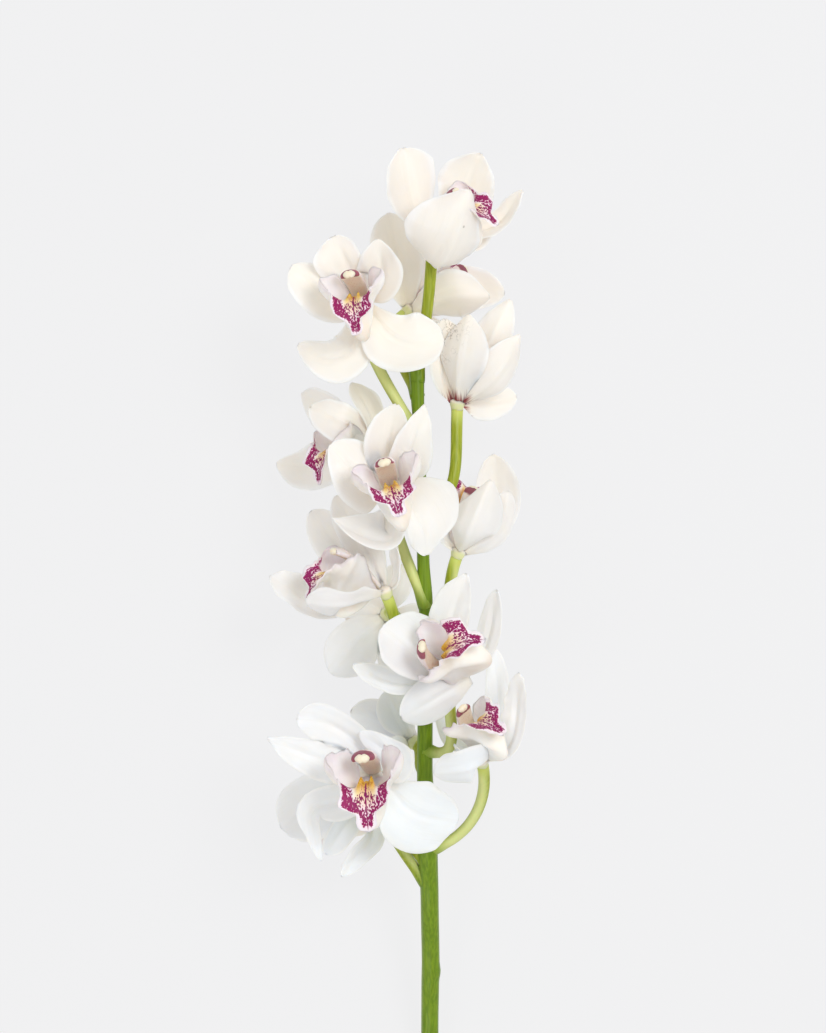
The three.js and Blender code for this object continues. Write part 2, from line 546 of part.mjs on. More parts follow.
function stemAt(y) {
  const k = Math.max(0, STEM.findIndex((s) => s.y >= y) - 1);
  const [a, b] = [STEM[k], STEM[k + 1]];
  const t = mix(smooth(a.y, b.y, y), (y - a.y) / (b.y - a.y), 0.5);
  return { x: mix(a.x, b.x, t), z: mix(a.z, b.z, t), r: mix(a.r, b.r, t) };
}

function mainStem() {
  const flatFaceDown = Math.PI / STEM_SIDES;
  const rings = STEM.map(({ y, x, z, r }) =>
    ring(new THREE.Vector3(x, y, z), new THREE.Vector3(0, 0, 1), new THREE.Vector3(1, 0, 0), r, r,
      STEM_SIDES, flatFaceDown),
  );
  return loft(rings);
}

function stalk(bloom, frame) {
  const { x, z } = stemAt(bloom.root);
  const start = new THREE.Vector3(x, bloom.root, z);
  const end = frame.heart.clone().addScaledVector(frame.stalk, -HEART.depth - GAP);
  const reach = start.distanceTo(end) * (bloom.bow ?? STALK.bow);
  const curve = new THREE.CubicBezierCurve3(
    start,
    start.clone().addScaledVector(vec(bloom.leaves).normalize(), reach),
    end.clone().addScaledVector(frame.stalk, -reach),
    end,
  );
  const rings = [];
  let across = frame.right.clone();
  for (let k = 0; k <= STALK.steps; k++) {
    const t = k / STALK.steps;
    const along = curve.getTangent(t);
    across = across.addScaledVector(along, -across.dot(along)).normalize();
    const size = mix(STALK.root, STALK.neck, t);
    rings.push(ring(curve.getPoint(t), across, along.clone().cross(across), size, size, STALK.sides));
  }
  return loft(rings);
}

// ---------------------------------------------------------------- assembly

const root = new THREE.Group();
const FINISH = {
  tepals: { color: WHITE, roughness: 0.45, metalness: 0 },
  lip: { color: BLUSH, roughness: 0.5, metalness: 0 },
  column: { color: CREAM, roughness: 0.4, metalness: 0 },
  stem: { color: GREEN, roughness: 0.45, metalness: 0 },
};

function add(name, kind, solid) {
  const standing = solid.trimByPlane([0, 0, 1], 0).simplify(SLIVER);
  const mesh = new THREE.Mesh(geometryOf(standing), new THREE.MeshStandardMaterial(FINISH[kind]));
  mesh.name = name;
  root.add(mesh);
}

const green = [solidOf(mainStem())];
for (const bloom of BLOOMS) {
  const frame = frameOf(bloom);
  const { petal, lip: grid } = bloom.rear ? REAR_GRIDS : GRIDS;
  const petals = TEPALS.map((key) => solidOf(tepal(frame, bloom[key], petal)));
  const room = lip(frame, bloom, grid, 2 * GAP).add(column(frame, bloom, 2 * GAP));
  const tepals = largest(join([solidOf(heartKnob(frame)), ...petals]).subtract(room));
  const foot = frame.forward.dot(frame.seat) + LIP.foot;
  add(bloom.name + "_tepals", "tepals", tepals);
  add(bloom.name + "_lip", "lip", lip(frame, bloom, grid, 0).trimByPlane(frame.forward.toArray(), foot));
  add(bloom.name + "_column", "column", column(frame, bloom, 0));
  green.push(solidOf(stalk(bloom, frame)));
}
add("stem", "stem", join(green));

const box = new THREE.Box3().setFromObject(root);
const middle = box.getCenter(new THREE.Vector3());
root.children.forEach((mesh) => mesh.geometry.translate(-middle.x, -middle.y, -box.min.z));

export default root;
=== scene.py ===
"""A cut stem of white cymbidium orchids lying on a pale floor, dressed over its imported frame.

Sizes are in millimetres from the middle of the stem's cut end, +Y along the stem and +Z up from the floor.
in_row_frame() turns them into the frame's metres.
"""
import math

import bpy
import numpy as np
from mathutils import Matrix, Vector


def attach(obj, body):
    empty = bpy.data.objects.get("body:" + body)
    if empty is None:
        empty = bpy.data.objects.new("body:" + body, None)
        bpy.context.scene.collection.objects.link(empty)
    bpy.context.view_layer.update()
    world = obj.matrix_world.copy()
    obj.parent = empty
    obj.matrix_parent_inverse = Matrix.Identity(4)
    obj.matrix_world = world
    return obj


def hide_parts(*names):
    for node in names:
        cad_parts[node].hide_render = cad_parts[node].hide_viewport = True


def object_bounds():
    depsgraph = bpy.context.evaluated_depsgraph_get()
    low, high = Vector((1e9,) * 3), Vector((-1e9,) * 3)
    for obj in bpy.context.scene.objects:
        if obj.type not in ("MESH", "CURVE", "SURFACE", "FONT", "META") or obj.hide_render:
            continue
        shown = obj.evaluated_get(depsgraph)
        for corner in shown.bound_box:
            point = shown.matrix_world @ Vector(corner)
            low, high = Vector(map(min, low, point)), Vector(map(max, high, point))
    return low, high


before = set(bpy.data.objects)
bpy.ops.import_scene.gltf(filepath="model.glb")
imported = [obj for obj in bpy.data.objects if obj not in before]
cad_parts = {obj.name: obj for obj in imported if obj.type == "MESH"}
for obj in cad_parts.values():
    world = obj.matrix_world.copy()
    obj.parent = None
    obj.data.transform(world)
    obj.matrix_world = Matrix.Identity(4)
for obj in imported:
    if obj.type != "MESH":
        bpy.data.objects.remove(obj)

CAD_BOX = [list(corner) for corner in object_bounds()]
MM = 0.001

# ------------ driving dimensions

SEED = 20
PETAL_GRID = (34, 26)  # rows along a petal, columns across it
LIP_GRID = (64, 60)
PETAL_EASE = 1.5  # how much closer a petal's rows lie near its tip
LIP_EASE = 1.25  # how much closer a lip's columns lie near its middle
PETAL_STEPS, LIP_STEPS = 16, 24  # steps across a section
PETAL_THICK = (1.5, 0.9)  # along its middle, and close to its margin
LIP_THICK = (1.3, 0.8)
THINS = 6  # the higher, the closer to its margin a blade thins to an edge

# The half width of a petal rises from PETAL_ROOT at the heart to its widest and rounds off to its tip. Where
# it is given at five steps, it rounds off from the share rounds.
PETAL_ROOT = 0.2
TEPAL_OUTLINE = {"widest": 0.56, "point": 2.4, "blunt": 0.58, "least": 0.03}
STEPPED_OUTLINE = {"rounds": 0.8, "over": 0.201, "least": 0.4}
CUPPED = 0.6  # share of a petal's half width where its cup is full
RIB_SAMPLES = 241
PETAL_FOOT = {"out": 3, "sunk": 0.5}  # how far from the heart's middle and below it a petal starts
PETAL_FREE = (0.08, 0.45)  # the shares over which a petal comes free to wave
CALM_RIB = 0.35  # how much of a petal's wave its middle has
GROOVE = {"deep": 0.9, "wide": 1.5, "ends": (0.6, 0.95)}  # along the middle of a petal
RIDGES = {"high": 0.5, "apart": 3.2, "wide": 1.8, "ends": (0.6, 0.9)}  # either side of the groove

# Undulations: how many waves cross, about how long they are and how high.
PETAL_WAVE = (4, 30, 1.9)
PETAL_FRILL = (3, 12, 0.9)
LIP_SCALLOP = (3, 6, 1.7)
LIP_FRILL = (3, 8, 1.5)
LIP_WAVE = (3, 20, 0.5)
WAVE_LENGTHS = (0.7, 1.5)  # the shortest and the longest wave, as shares of that length

# The heart is the swollen top of the stalk: it widens to its radius over the share swells of its height and
# rounds off from the share rounds.
HEART = {"radius": 4.4, "depth": 5, "top": 1.6, "sides": 24, "rings": 16}
HEART_OUTLINE = {"swells": 0.8, "rounds": 0.7, "closes": 10, "least": 0.04}
HEART_GREEN = (0.4, 0.85)  # the shares over which its green fades

# A stalk sinks into the heart, and swells where it leaves the stem; ribs is the height of its three ribs.
STALK = {
    "root": 2.9, "neck": 3.3, "sides": 20, "steps": 44, "sinks": 0.6, "swells": 1.3, "swell_ends": 0.16,
    "ribs": 0.035,
}
STEM_SIDES = 40
STEM_RING_SPACING = 2.4
COARSE_RIBS = {"high": 0.1, "count": 7, "turned": 1}  # round the stem
FINE_RIBS = {"high": 0.07, "count": 13, "twist": 60}  # twist is the length over which they turn by a radian
STEM_PAINTED_HIGHLIGHT_TURN = 1.9  # how far the side with the painted highlight is turned round the stem, in radians
STALK_PAINTED_HIGHLIGHT_TWIST = 1.2  # how far the painted highlight on a stalk turns along it

# Stations along the stem: distance from the cut end, sideways place, height of the middle, radius.
STEM = [
    (0, 0, 4.83, 5), (40, 0, 4.83, 5), (114, 0.3, 19, 4.9), (135, 0.5, 25, 5), (141, 1, 26.7, 5.4),
    (147, 0.7, 28.5, 5), (185, 0, 41, 5), (212, -1, 49, 5.4), (258, -2.8, 59, 4.3), (290, -2.6, 64, 4.1),
    (352, -2.2, 69, 3.7), (374, -3.7, 70, 3.4), (450, -6.3, 71, 3.2), (468, -7, 71, 3.9),
    (482, -7.5, 71, 4.6), (490, -7, 71, 3.6),
]


def petal(rib, tip, half, cup=15, **more):
    """A petal runs from the heart over the points of its rib to its tip. half is its half width, or those of
    its left and right sides at five even steps. cup is how many degrees its margins turn forward, or its left
    and its right one. looks is the way its inner face is turned, where that is not plainly inward; start is
    where it begins and root its share of its widest there, where they are not the usual ones."""
    return dict(rib=rib, tip=tip, half=half, cup=cup, **more)


UPWARD = (0, 0, 1)

# The blooms, from the tip of the stem down. heart is where the petals meet, faces the way the bloom looks and
# lip the way its lip hangs; seat is how far the lip sits off the heart. root is the stalk's place along the
# stem, leaves the way it sets off, arrives the way it meets the heart and bow how far it keeps to those ways.
# hang lifts the tip of the lip; hood is how far the column is flushed and flush how far the petals' feet are.
BLOOM_DEFAULTS = {"seat": (0, 0, 0), "bow": 0.42, "hang": 0, "hood": 0.5, "flush": 0}
BLOOMS = [dict(
    heart=(1, 552, 78), faces=(0.56, 0.5, 0.66), lip=(0.6, -0.75, -0.2), size=0.85, hood=0.9,
    root=472, leaves=(0.15, 1, 0.1), arrives=(0, 0.95, 0.3), bow=0.3,
    dorsal=petal([(-12, 20, 6)], (-17, 46, 12), ((8, 15, 18, 15, 8), (6, 13, 16, 17, 16)), (25, 40),
        looks=(0.5, -0.2, 0.85)),
    petal_left=petal([(2, -18, 14), (12, -5, 31)], (20, 21, 34),
        ((10, 16, 20, 15, 6), (12, 23, 29, 24, 9)), 30),
    petal_right=petal([(17, 22, -8)], (27, 45, -4), ((8, 16, 20, 18, 11), (8, 14, 16, 13, 6)), (30, 25)),
    sepal_left=petal([(33, 5, -10)], (50, 25, -4), ((6, 8, 8, 7, 4), (6, 9, 9, 8, 5)), 20,
        looks=(-0.6, 0.3, 0.7)),
    sepal_right=petal([(20, -2, -12)], (30, 10, -20), 10, 20),
), dict(
    heart=(-11, 513, 44), faces=(0.75, 0.5, -0.3), lip=(-0.2, -0.2, -0.95), size=0.8, hood=0.9,
    seat=(5, 6, -2), root=464, leaves=(-0.3, 0.8, -0.5), bow=0.35,
    dorsal=petal([(18, -8, -14)], (32, -12, -22), 10, 20),
    petal_left=petal([(-7, 26, 2)], (-12, 54, 4), 16, 20, looks=(0.2, 0, 1)),
    petal_right=petal([(30, 14, -32)], (54, 12, -30), 14, looks=(-0.2, 0, 1)),
    sepal_left=petal([(5, 24, -24)], (8, 44, -32), 10, 20),
    sepal_right=petal([(24, 6, 17)], (44, 7, 14), ((9, 15, 17, 13, 6), (10, 15, 17, 13, 5)), 35),
), dict(
    heart=(-36, 514, 92), faces=(-0.17, 0.12, 0.98), lip=(0.17, -1, 0), size=0.94, hang=-2, hood=0.6,
    root=442, leaves=(-0.5, 0.8, 0.2), arrives=(0.1, 0.5, 0.85),
    dorsal=petal([(-7, 17, 7)], (-16, 35, 13), ((9, 14, 17, 17, 14), (7, 9, 9, 9, 7)), 20),
    petal_left=petal([(-19, 3, 6)], (-39, 19, 7), ((12, 15, 14, 12, 9), (10, 13, 12, 9, 7))),
    petal_right=petal([(10, 14, 10)], (8, 33, 15), ((9, 13, 14, 11, 6), (9, 12, 12, 8, 4)), (10, 15),
        looks=(-0.2, 0, 1)),
    sepal_left=petal([(-6, -25, 3), (-20, -31, 3)], (-36, -23, -1), ((6, 12, 14, 8, 5), (8, 12, 11, 9, 6)),
        (10, 20), looks=(0, 0.1, 1)),
    sepal_right=petal([(14, -17, 4), (28, -22, 5)], (43, -18, 2), ((8, 13, 16, 16, 12), (12, 19, 18, 13, 9)),
        (10, 20), looks=UPWARD),
), dict(
    heart=(15, 461, 74), faces=(0.45, 0.8, -0.35), lip=(-0.2, -0.2, -1), size=0.9, flush=1,
    root=405, leaves=(1, 0, 0.7), bow=0.5, arrives=(0.05, 1, 0),
    dorsal=petal([(1, 22, 15)], (6, 47, 12), ((8, 14, 16, 12, 6), (8, 14, 15, 11, 5)), 25),
    petal_left=petal([(16, 28, 6)], (29, 56, 4), ((8, 12, 12, 9, 5), (7, 11, 12, 9, 4)), 20),
    petal_right=petal([(20, 13, 14)], (34, 36, 10), ((8, 12, 12, 10, 5), (8, 12, 13, 9, 4)), 25),
    sepal_left=petal([(17, 0, -12)], (33, 3, -14), ((8, 10, 11, 9, 6), (8, 10, 10, 8, 5)), 10, looks=UPWARD),
    sepal_right=petal([(-8, 18, 2)], (-7, 45, 4), ((7, 9, 9, 9, 7), (9, 12, 13, 12, 8)), 20,
        looks=(0.3, 0, 0.9)),
), dict(
    heart=(-21, 412, 90), faces=(-0.03, 0.16, 0.98), lip=(0.27, -0.96, 0), size=1, hang=3.5, hood=0.25,
    root=348, leaves=(-0.35, 0.9, 0.2), arrives=(0.05, 0.5, 0.85),
    dorsal=petal([(-1, 24, 8)], (3, 46, 14), ((9, 14, 15, 12, 8), (8, 12, 12, 9, 6)), 25),
    petal_left=petal([(-17, 8, 8)], (-33, 25, 11), ((17, 19, 15, 10, 6), (10, 16, 17, 13, 9)), (20, 10)),
    petal_right=petal([(11, 22, 14)], (18, 46, 15), ((8, 12, 11, 7, 3), (11, 13, 11, 7, 3)), (5, 10),
        looks=(0.35, 0, 0.94)),
    sepal_left=petal([(1, -25, 5), (-12, -26, 9)], (-32, -15, 11), ((6, 8, 8, 6, 2), (10, 16, 16, 10, 2)),
        (50, 15), looks=(0, 0.3, 1)),
    sepal_right=petal([(10, -9, 6), (17, -20, 7)], (19, -35, 3), ((18, 26, 21, 9, 5), (6, 8, 10, 9, 6)),
        looks=(0.1, 0, 1)),
), dict(
    heart=(-30, 437, 50), faces=(-0.82, 0.06, 0.55), lip=(0.05, -1, 0), size=0.9, seat=(0.5, -1, -3),
    root=415, leaves=(-0.9, 0.3, -0.3), bow=0.35,
    dorsal=petal([(-18, 13, 19)], (-36, 21, 14), ((11, 15, 14, 11, 7), (7, 9, 10, 9, 6)), (10, 15),
        looks=(0.1, 0.4, 0.9)),
    petal_left=petal([(-24, 18, -26)], (-43, 31, -42), 12),
    petal_right=petal([(-4, 20, 6)], (-13, 35, 6), 10, looks=(0.6, 0.3, 0.7)),
    sepal_left=petal([(-36, -10, -26)], (-57, -9, -34), ((8, 14, 16, 13, 8), (8, 12, 13, 9, 5))),
    sepal_right=petal([(-4, -21, 12)], (-8, -36, 10), 10, 10),
), dict(
    heart=(16, 379, 60), faces=(0.3, 0.85, -0.1), lip=(-0.2, -0.1, -0.95), size=0.85, hood=1,
    seat=(-4, 3.5, 0), root=318, leaves=(0.7, 0.6, -0.3),
    dorsal=petal([(21, 12, 2)], (27, 33, 4), 10, 20, looks=(-0.4, 0, -0.9)),
    petal_left=petal([(21, 24, -27)], (20, 54, -30), 14, 20, looks=UPWARD),
    petal_right=petal([(6, 12, 18)], (17, 39, 16), ((9, 16, 18, 15, 8), (9, 14, 13, 7, 3)), 35),
    sepal_left=petal([(5, 10, -30)], (12, 26, -61), 10),
    sepal_right=petal([(-10, 12, 6)], (-8, 30, 8), 8, looks=(0.8, 0, 0.5)),
), dict(
    heart=(-25, 358, 80), faces=(-0.8, 0.37, 0.46), lip=(-0.4, -0.88, 0.1), size=0.9, hood=0,
    seat=(-3, 1, -3), root=300, leaves=(-0.4, 0.5, 0.5), arrives=(-0.35, 0.9, 0.3),
    dorsal=petal([(-13, 28, -6)], (-27, 51, -6), 11, looks=(0.2, -0.3, 0.9)),
    petal_left=petal([(-27, 26, -20)], (-41, 43, -24), 13, looks=UPWARD),
    petal_right=petal([(8, 8, 5)], (7, 25, 5), 6, looks=(-0.9, 0, 0.4)),
    sepal_left=petal([(-34, -8, -8)], (-63, 7, -10), 14),
    sepal_right=petal([(-20, -7, 23)], (-42, -7, 21), ((6, 9, 11, 11, 9), (9, 15, 17, 17, 12)), 25),
), dict(
    heart=(10, 310, 82), faces=(-0.15, 0.5, 0.85), lip=(1, 0.05, 0.1), size=1, hood=0.8,
    root=269, leaves=(1, -0.35, 0.3), arrives=(0, 0.9, 0.4), bow=0.55,
    dorsal=petal([(-18, 13, 6)], (-36, 28, 12), ((10, 16, 19, 18, 13), (12, 20, 21, 18, 13)), 20),
    petal_left=petal([(-28, -3, 6)], (-52, 7, 2), 8),
    petal_right=petal([(1, 27, 4)], (10, 57, 6), ((8, 12, 13, 11, 5), (8, 10, 10, 7, 4))),
    sepal_left=petal([(-5, -9, 6)], (-26, -21, 9), 13, 0, start=(12, 0, -1), root=0.3,
        looks=(0.1, -0.3, 0.9)),
    sepal_right=petal([(19, 15, 2)], (27, 48, 6), 8, 10),
), dict(
    heart=(-24, 343, 36), faces=(-0.3, -0.2, -0.9), lip=(0.3, -1, 0), size=0.8,
    root=322, leaves=(-0.8, 0.5, -0.3), bow=0.3,
    dorsal=petal([(4, 14, -6)], (8, 28, -10), 10, 10),
    petal_left=petal([(-18, 8, -8)], (-34, 14, -16), 12, 10),
    petal_right=petal([(16, -4, -8)], (30, -6, -16), 11, 10),
    sepal_left=petal([(-15, -14, 0)], (-31, -34, -4), 15, 10),
    sepal_right=petal([(4, -20, -6)], (8, -38, -14), 11, 10),
), dict(
    heart=(28, 265, 76), faces=(-0.16, 0.7, 0.7), lip=(0.65, -0.75, 0.1), size=0.86, hood=0.8,
    hang=-4, seat=(0, 3, -2), root=212, leaves=(1, 0.3, 0.2), bow=0.44,
    dorsal=petal([(-14, 10, -20)], (-22, 32, -26), 8),
    petal_left=petal([(-10, 2, 10)], (-15, 9, 14), 5),
    petal_right=petal([(9, 30, -14)], (8, 60, -10), 7, looks=UPWARD),
    sepal_left=petal([(-5, -2, 24)], (-26, -6, 18), 12, start=(6, 5, 2), root=0.7, looks=(0, 0.5, -0.8)),
    sepal_right=petal([(17, 13, 14)], (20, 48, 12), 9, looks=(-0.7, 0.1, 0.7)),
), dict(
    heart=(-29, 257, 88), faces=(-0.1, 0, 0.98), lip=(0.1, -0.99, 0), size=1.12, hood=1,
    seat=(-2, 3, 0), root=190, leaves=(-0.6, 0.8, 0.1), arrives=(0, 0.6, 0.8),
    dorsal=petal([(-10, 18, 6), (-25, 29, 10)], (-43, 33, 12), ((7, 9, 11, 11, 9), (7, 9, 10, 11, 10))),
    petal_left=petal([(-28, 9, 6)], (-59, 21, 8), ((9, 12, 11, 8, 3), (8, 11, 9, 6, 3))),
    petal_right=petal([(10, 9, 9)], (-9, 25, 14), ((5, 6, 6, 5, 4), (9, 11, 8, 6, 4)), 10,
        looks=(-0.2, 0.1, 1)),
    sepal_left=petal([(-19, -13, 6), (-34, -18, 7), (-34, -32, 9)], (-30, -45, 10),
        ((10, 10, 5, 4, 3), (9, 11, 9, 4, 3)), (10, 15), looks=UPWARD),
    sepal_right=petal([(21, -19, 0)], (44, -25, -6), ((10, 18, 18, 15, 11), (12, 21, 23, 19, 13)), 10),
), dict(
    heart=(-36, 240, 38), faces=(-0.6, -0.3, -0.3), lip=(0.2, -0.6, -0.4), size=0.8,
    root=204, leaves=(-0.8, 0.4, -0.3), bow=0.3,
    dorsal=petal([(-25, -2, 8)], (-47, -16, 6), 19, 20, looks=UPWARD),
    petal_left=petal([(-10, 16, -14)], (-28, 20, -24), 12),
    petal_right=petal([(-12, -15, 14)], (-22, -30, 12), 9, looks=(0.5, 0, 0.8)),
    sepal_left=petal([(-10, -4, -20)], (-30, -10, -29), 11),
    sepal_right=petal([(4, -20, 6), (-4, -30, 12)], (-13, -42, 16), ((5, 7, 7, 6, 4), (5, 6, 6, 5, 4)),
        (15, 30), looks=(0.3, 0, 0.9)),
), dict(
    heart=(-10, 272, 40), faces=(-0.6, 0.4, -0.6), lip=(-0.4, -0.7, 0.2), size=0.75,
    root=256, leaves=(-0.8, 0.4, -0.4), bow=0.3,
    dorsal=petal([(-6, 14, 6)], (-14, 29, 4), 12),
    petal_left=petal([(-4, 14, -12)], (-16, 30, -22), 11),
    petal_right=petal([(-18, 12, 2)], (-34, 17, 0), 11),
    sepal_left=petal([(-10, -8, -14)], (-28, -12, -24), 11),
    sepal_right=petal([(-10, -6, 8)], (-16, -26, 6), 12),
)]
TEPALS = ["dorsal", "petal_left", "petal_right", "sepal_left", "sepal_right"]

# The lip at even steps from behind its foot to its tip, per size 1. Its middle line runs down into the sac,
# forward under the column, up to the crest and over into the hanging lobe. lean tips its sections from up
# towards forward, cup bends them up, spread widens them and callus is the height of its two ridges.
LIP = {
    "up": [-3.8, -9.2, -14.7, -20, -24.3, -25.8, -25, -21, -15, -9.5, -10.5, -16.5, -25.5],
    "forward": [2, 3.7, 6, 9.5, 13.8, 18.3, 23, 27.2, 31, 34, 38.2, 40.4, 41],
    "lean": [-10, -3, 0, 0, 0, 1.5, 5, 11, 21, 40, 60, 77, 90],
    "half": [3.5, 10.5, 18, 26, 36, 43, 45, 38.5, 25, 17.5, 14.8, 13.5, 11.5],
    "spread": [1, 0.85, 0.74, 0.66, 0.6, 0.62, 0.76, 1.2, 1.12, 1, 1, 1, 1],
    "cup": [20, 57, 78, 88, 90, 90, 88, 83, 73, 55, 42, 28, 10],
    "callus": [0, 0.5, 1, 2.5, 6, 13, 20, 19.5, 14, 6, 1, 0, 0],
}
LIP_SECTION = {"turns": [0, 75, 80, 48, 70, 125], "cup": 85}  # degrees from middle to margin, at that cup
LIP_SHOULDER = {"ends": (0.885, 0.93), "narrows": 0.62}  # where the side lobes give way to the hanging lobe
LIP_END = {"rounds": 0.95, "closes": 1.001, "least": 0.25}
LIP_HANGS = 0.78  # the share from which its lobe hangs over
SCALLOPED = {"from": (0.66, 0.74), "power": 5, "length": 80, "apart": 9}
FRILLED = {"from": (0.2, 0.5), "power": 4, "stretch": 1.6}
CALLUS = {"apart": 2.4, "wide": 2.3, "between": 0.88, "reach": 2.2}

# Where a lip is coloured. Each pair is where a colour fades in: from and to are shares along the lip, rim is
# the distance from its margin, end from its tip and wide from its middle line, and high is the height over
# its seat. MARK_INNER is how far out the arms of the mark start.
LIP_LENGTH = 70
MARK_INNER = {"high": [-24, -20, -14, -8, 0, 4], "wide": [0, 0.5, 3.6, 6, 7.4, 9]}
MARK_ARMS = {"wide": (-0.8, 1.0), "from": (0.66, 0.73)}
MARK_MIDDLE = {"high": (-7.5, -10.5), "from": (0.74, 0.78), "strength": 0.72}
MARK_CORNERS = {"rim": (6, 3), "from": (0.6, 0.66)}
UNMARKED = {"rim": (1.1, 2.3), "end": (0.8, 2.2)}
YELLOW = {"from": (0.3, 0.45), "to": (0.93, 0.82), "wide": (7.0, 3.5)}
STRIPE = {"from": (0.7, 0.76), "end": (0.6, 2.0), "wide": (0.55, 0.2)}

# Rings of the column from its foot to its rounded end, per size 1, and the shape of its hollow and its hood.
COLUMN = {
    "up": [0.5, 5, 8.3, 8.9, 8.4],
    "forward": [1.6, 12, 24, 32, 38],
    "half": [4.4, 5.1, 5.6, 5.8, 5.2],
    "deep": [2.4, 2.8, 3.1, 3.8, 3],
}
COLUMN_GRID = (48, 36)  # steps along it, sides round it
COLUMN_END = {"rounds": 0.9, "least": 0.02}
HOLLOW = {"deep": 0.75, "from": (0.2, 0.6)}
BRIM = {"out": 1.1, "from": (0.85, 0.97)}

ANTHER = {"up": 8.9, "forward": 37.8, "half": 3.3, "tall": 2.5, "deep": 2.2, "steps": 18, "sides": 28}
ANTHER_LOBES = 0.1
ANTHER_CLEFT = {"deep": 0.22, "wide": 0.25}

# ------------ small helpers


def in_row_frame(points):
    return np.asarray(points, float) * MM + ORIGIN


def stem_origin():
    """Where the middle of the stem's cut end lies on the floor of the row frame."""
    points = np.array([v.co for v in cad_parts["stem"].data.vertices])
    cut = points[points[:, 1] < points[:, 1].min() + 0.1 * MM]
    return np.array([(cut[:, 0].min() + cut[:, 0].max()) / 2, cut[0, 1], 0])


ORIGIN = stem_origin()


def dot(a, b):
    return np.sum(a * b, axis=-1, keepdims=True)


def unit(a):
    a = np.asarray(a, float)
    return a / np.sqrt(dot(a, a))


def mix(a, b, share):
    return a + (b - a) * share


def smooth(low, high, x):
    t = np.clip((x - low) / (high - low), 0, 1)
    return t * t * (3 - 2 * t)


def bell(x, wide, power=2):
    """1 at nothing, falling away on both sides over about wide."""
    return np.exp(-((x / wide) ** power))


def through(values, t):
    """A smooth curve through evenly spaced values."""
    values = np.asarray(values, float)
    last = len(values) - 1
    place = np.clip(np.asarray(t, float) * last, 0, last - 1e-9)
    k = np.floor(place).astype(int)
    s = place - k
    a, b, c, d = (values[np.clip(k + i, 0, last)] for i in (-1, 0, 1, 2))
    return b + 0.5 * s * (c - a + s * (2 * a - 5 * b + 4 * c - d + s * (3 * (b - c) + d - a)))


def section(share, turn, steps):
    """Where a blade's section has come to at a share of the way from its middle to a margin, if turn(s) is
    how far it is turned up at the share s."""
    across, up = np.zeros((2, *turn(share).shape))
    for k in range(steps):
        angle = turn((k + 0.5) / steps * share)
        across += np.cos(angle) * share / steps
        up += np.sin(angle) * share / steps
    return across, up


def ripple(rng, along, across, count, reach, high):
    """Soft undulation from count crossing waves about reach long."""
    height = np.zeros(np.broadcast(along, across).shape)
    for _ in range(count):
        turn, phase = rng.uniform(0, 2 * np.pi, 2)
        length = reach * rng.uniform(*WAVE_LENGTHS)
        path = along * np.cos(turn) + across * np.sin(turn)
        height = height + np.sin(2 * np.pi * path / length + phase)
    return height / count * high


# ------------ meshes


def quads(grid):
    return np.stack([grid[:-1, :-1], grid[:-1, 1:], grid[1:, 1:], grid[1:, :-1]], -1).reshape(-1, 4).tolist()


def closed_sheet(inner, outer, facts):
    """Two grids of points that meet along their edges. facts are numbers for each point of the grid; front is
    added to them, 1 on the inner face and 0 on the outer one."""
    rows, columns = inner.shape[:2]
    hidden = (rows - 2) * (columns - 2)
    index = np.arange(rows * columns).reshape(rows, columns)
    back = index.copy()
    back[1:-1, 1:-1] = rows * columns + np.arange(hidden).reshape(rows - 2, columns - 2)
    points = np.concatenate([inner.reshape(-1, 3), outer[1:-1, 1:-1].reshape(-1, 3)])
    faces = quads(index) + [face[::-1] for face in quads(back)]
    front = np.ones((rows, columns))
    front[[0, -1], :] = front[:, [0, -1]] = 0.5
    spread = {"front": np.concatenate([front.reshape(-1), np.zeros(hidden)])}
    for key, value in facts.items():
        value = np.broadcast_to(value, (rows, columns, 1))
        spread[key] = np.concatenate([value.reshape(-1), value[1:-1, 1:-1].reshape(-1)])
    return {"points": points, "faces": faces, "facts": spread}


def tube(rings, facts):
    """Rings of points, each with the same count, closed at both ends by a point in its middle."""
    rings = np.asarray(rings, float)
    steps, sides = rings.shape[:2]
    index = np.arange(steps * sides).reshape(steps, sides)
    index = np.hstack([index, index[:, :1]])
    points = np.concatenate([rings.reshape(-1, 3), rings[[0, -1]].mean(axis=1)])
    first, last = index[[0, -1]].tolist()
    faces = quads(index)
    faces += [[b, a, steps * sides] for a, b in zip(first, first[1:])]
    faces += [[a, b, steps * sides + 1] for a, b in zip(last, last[1:])]
    spread = {}
    for key, value in facts.items():
        value = np.broadcast_to(value, (steps, sides))
        spread[key] = np.concatenate([value.reshape(-1), value[[0, -1]].mean(axis=1)])
    return {"points": points, "faces": faces, "facts": spread}


def turns(sides):
    """Even angles round a ring."""
    return np.linspace(0, 2 * np.pi, sides, endpoint=False)


def ring(centre, across, up, radius, sides):
    angle = turns(sides)[:, None]
    return centre + across * radius * np.cos(angle) + up * radius * np.sin(angle)


def piece(name, shapes, material, node):
    """One object from several closed shapes, kept to the frame's box and standing for one of its nodes."""
    points = np.concatenate([shape["points"] for shape in shapes])
    keys = sorted({key for shape in shapes for key in shape["facts"]})
    facts = {key: [] for key in keys}
    faces, start = [], 0
    for shape in shapes:
        faces += [[corner + start for corner in face] for face in shape["faces"]]
        count = len(shape["points"])
        for key in keys:
            facts[key].append(shape["facts"].get(key, np.zeros(count)))
        start += count
    points = np.clip(in_row_frame(points), *CAD_BOX)
    mesh = bpy.data.meshes.new(name)
    mesh.from_pydata(points.tolist(), [], faces)
    mesh.polygons.foreach_set("use_smooth", [True] * len(faces))
    for key in keys:
        layer = mesh.attributes.new(key, "FLOAT", "POINT")
        layer.data.foreach_set("value", np.concatenate(facts[key]).astype(np.float32))
    mesh.materials.append(material)
    mesh.update()
    made = bpy.data.objects.new(name, mesh)
    bpy.context.scene.collection.objects.link(made)
    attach(made, "root")
    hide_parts(node)


# ------------ petals


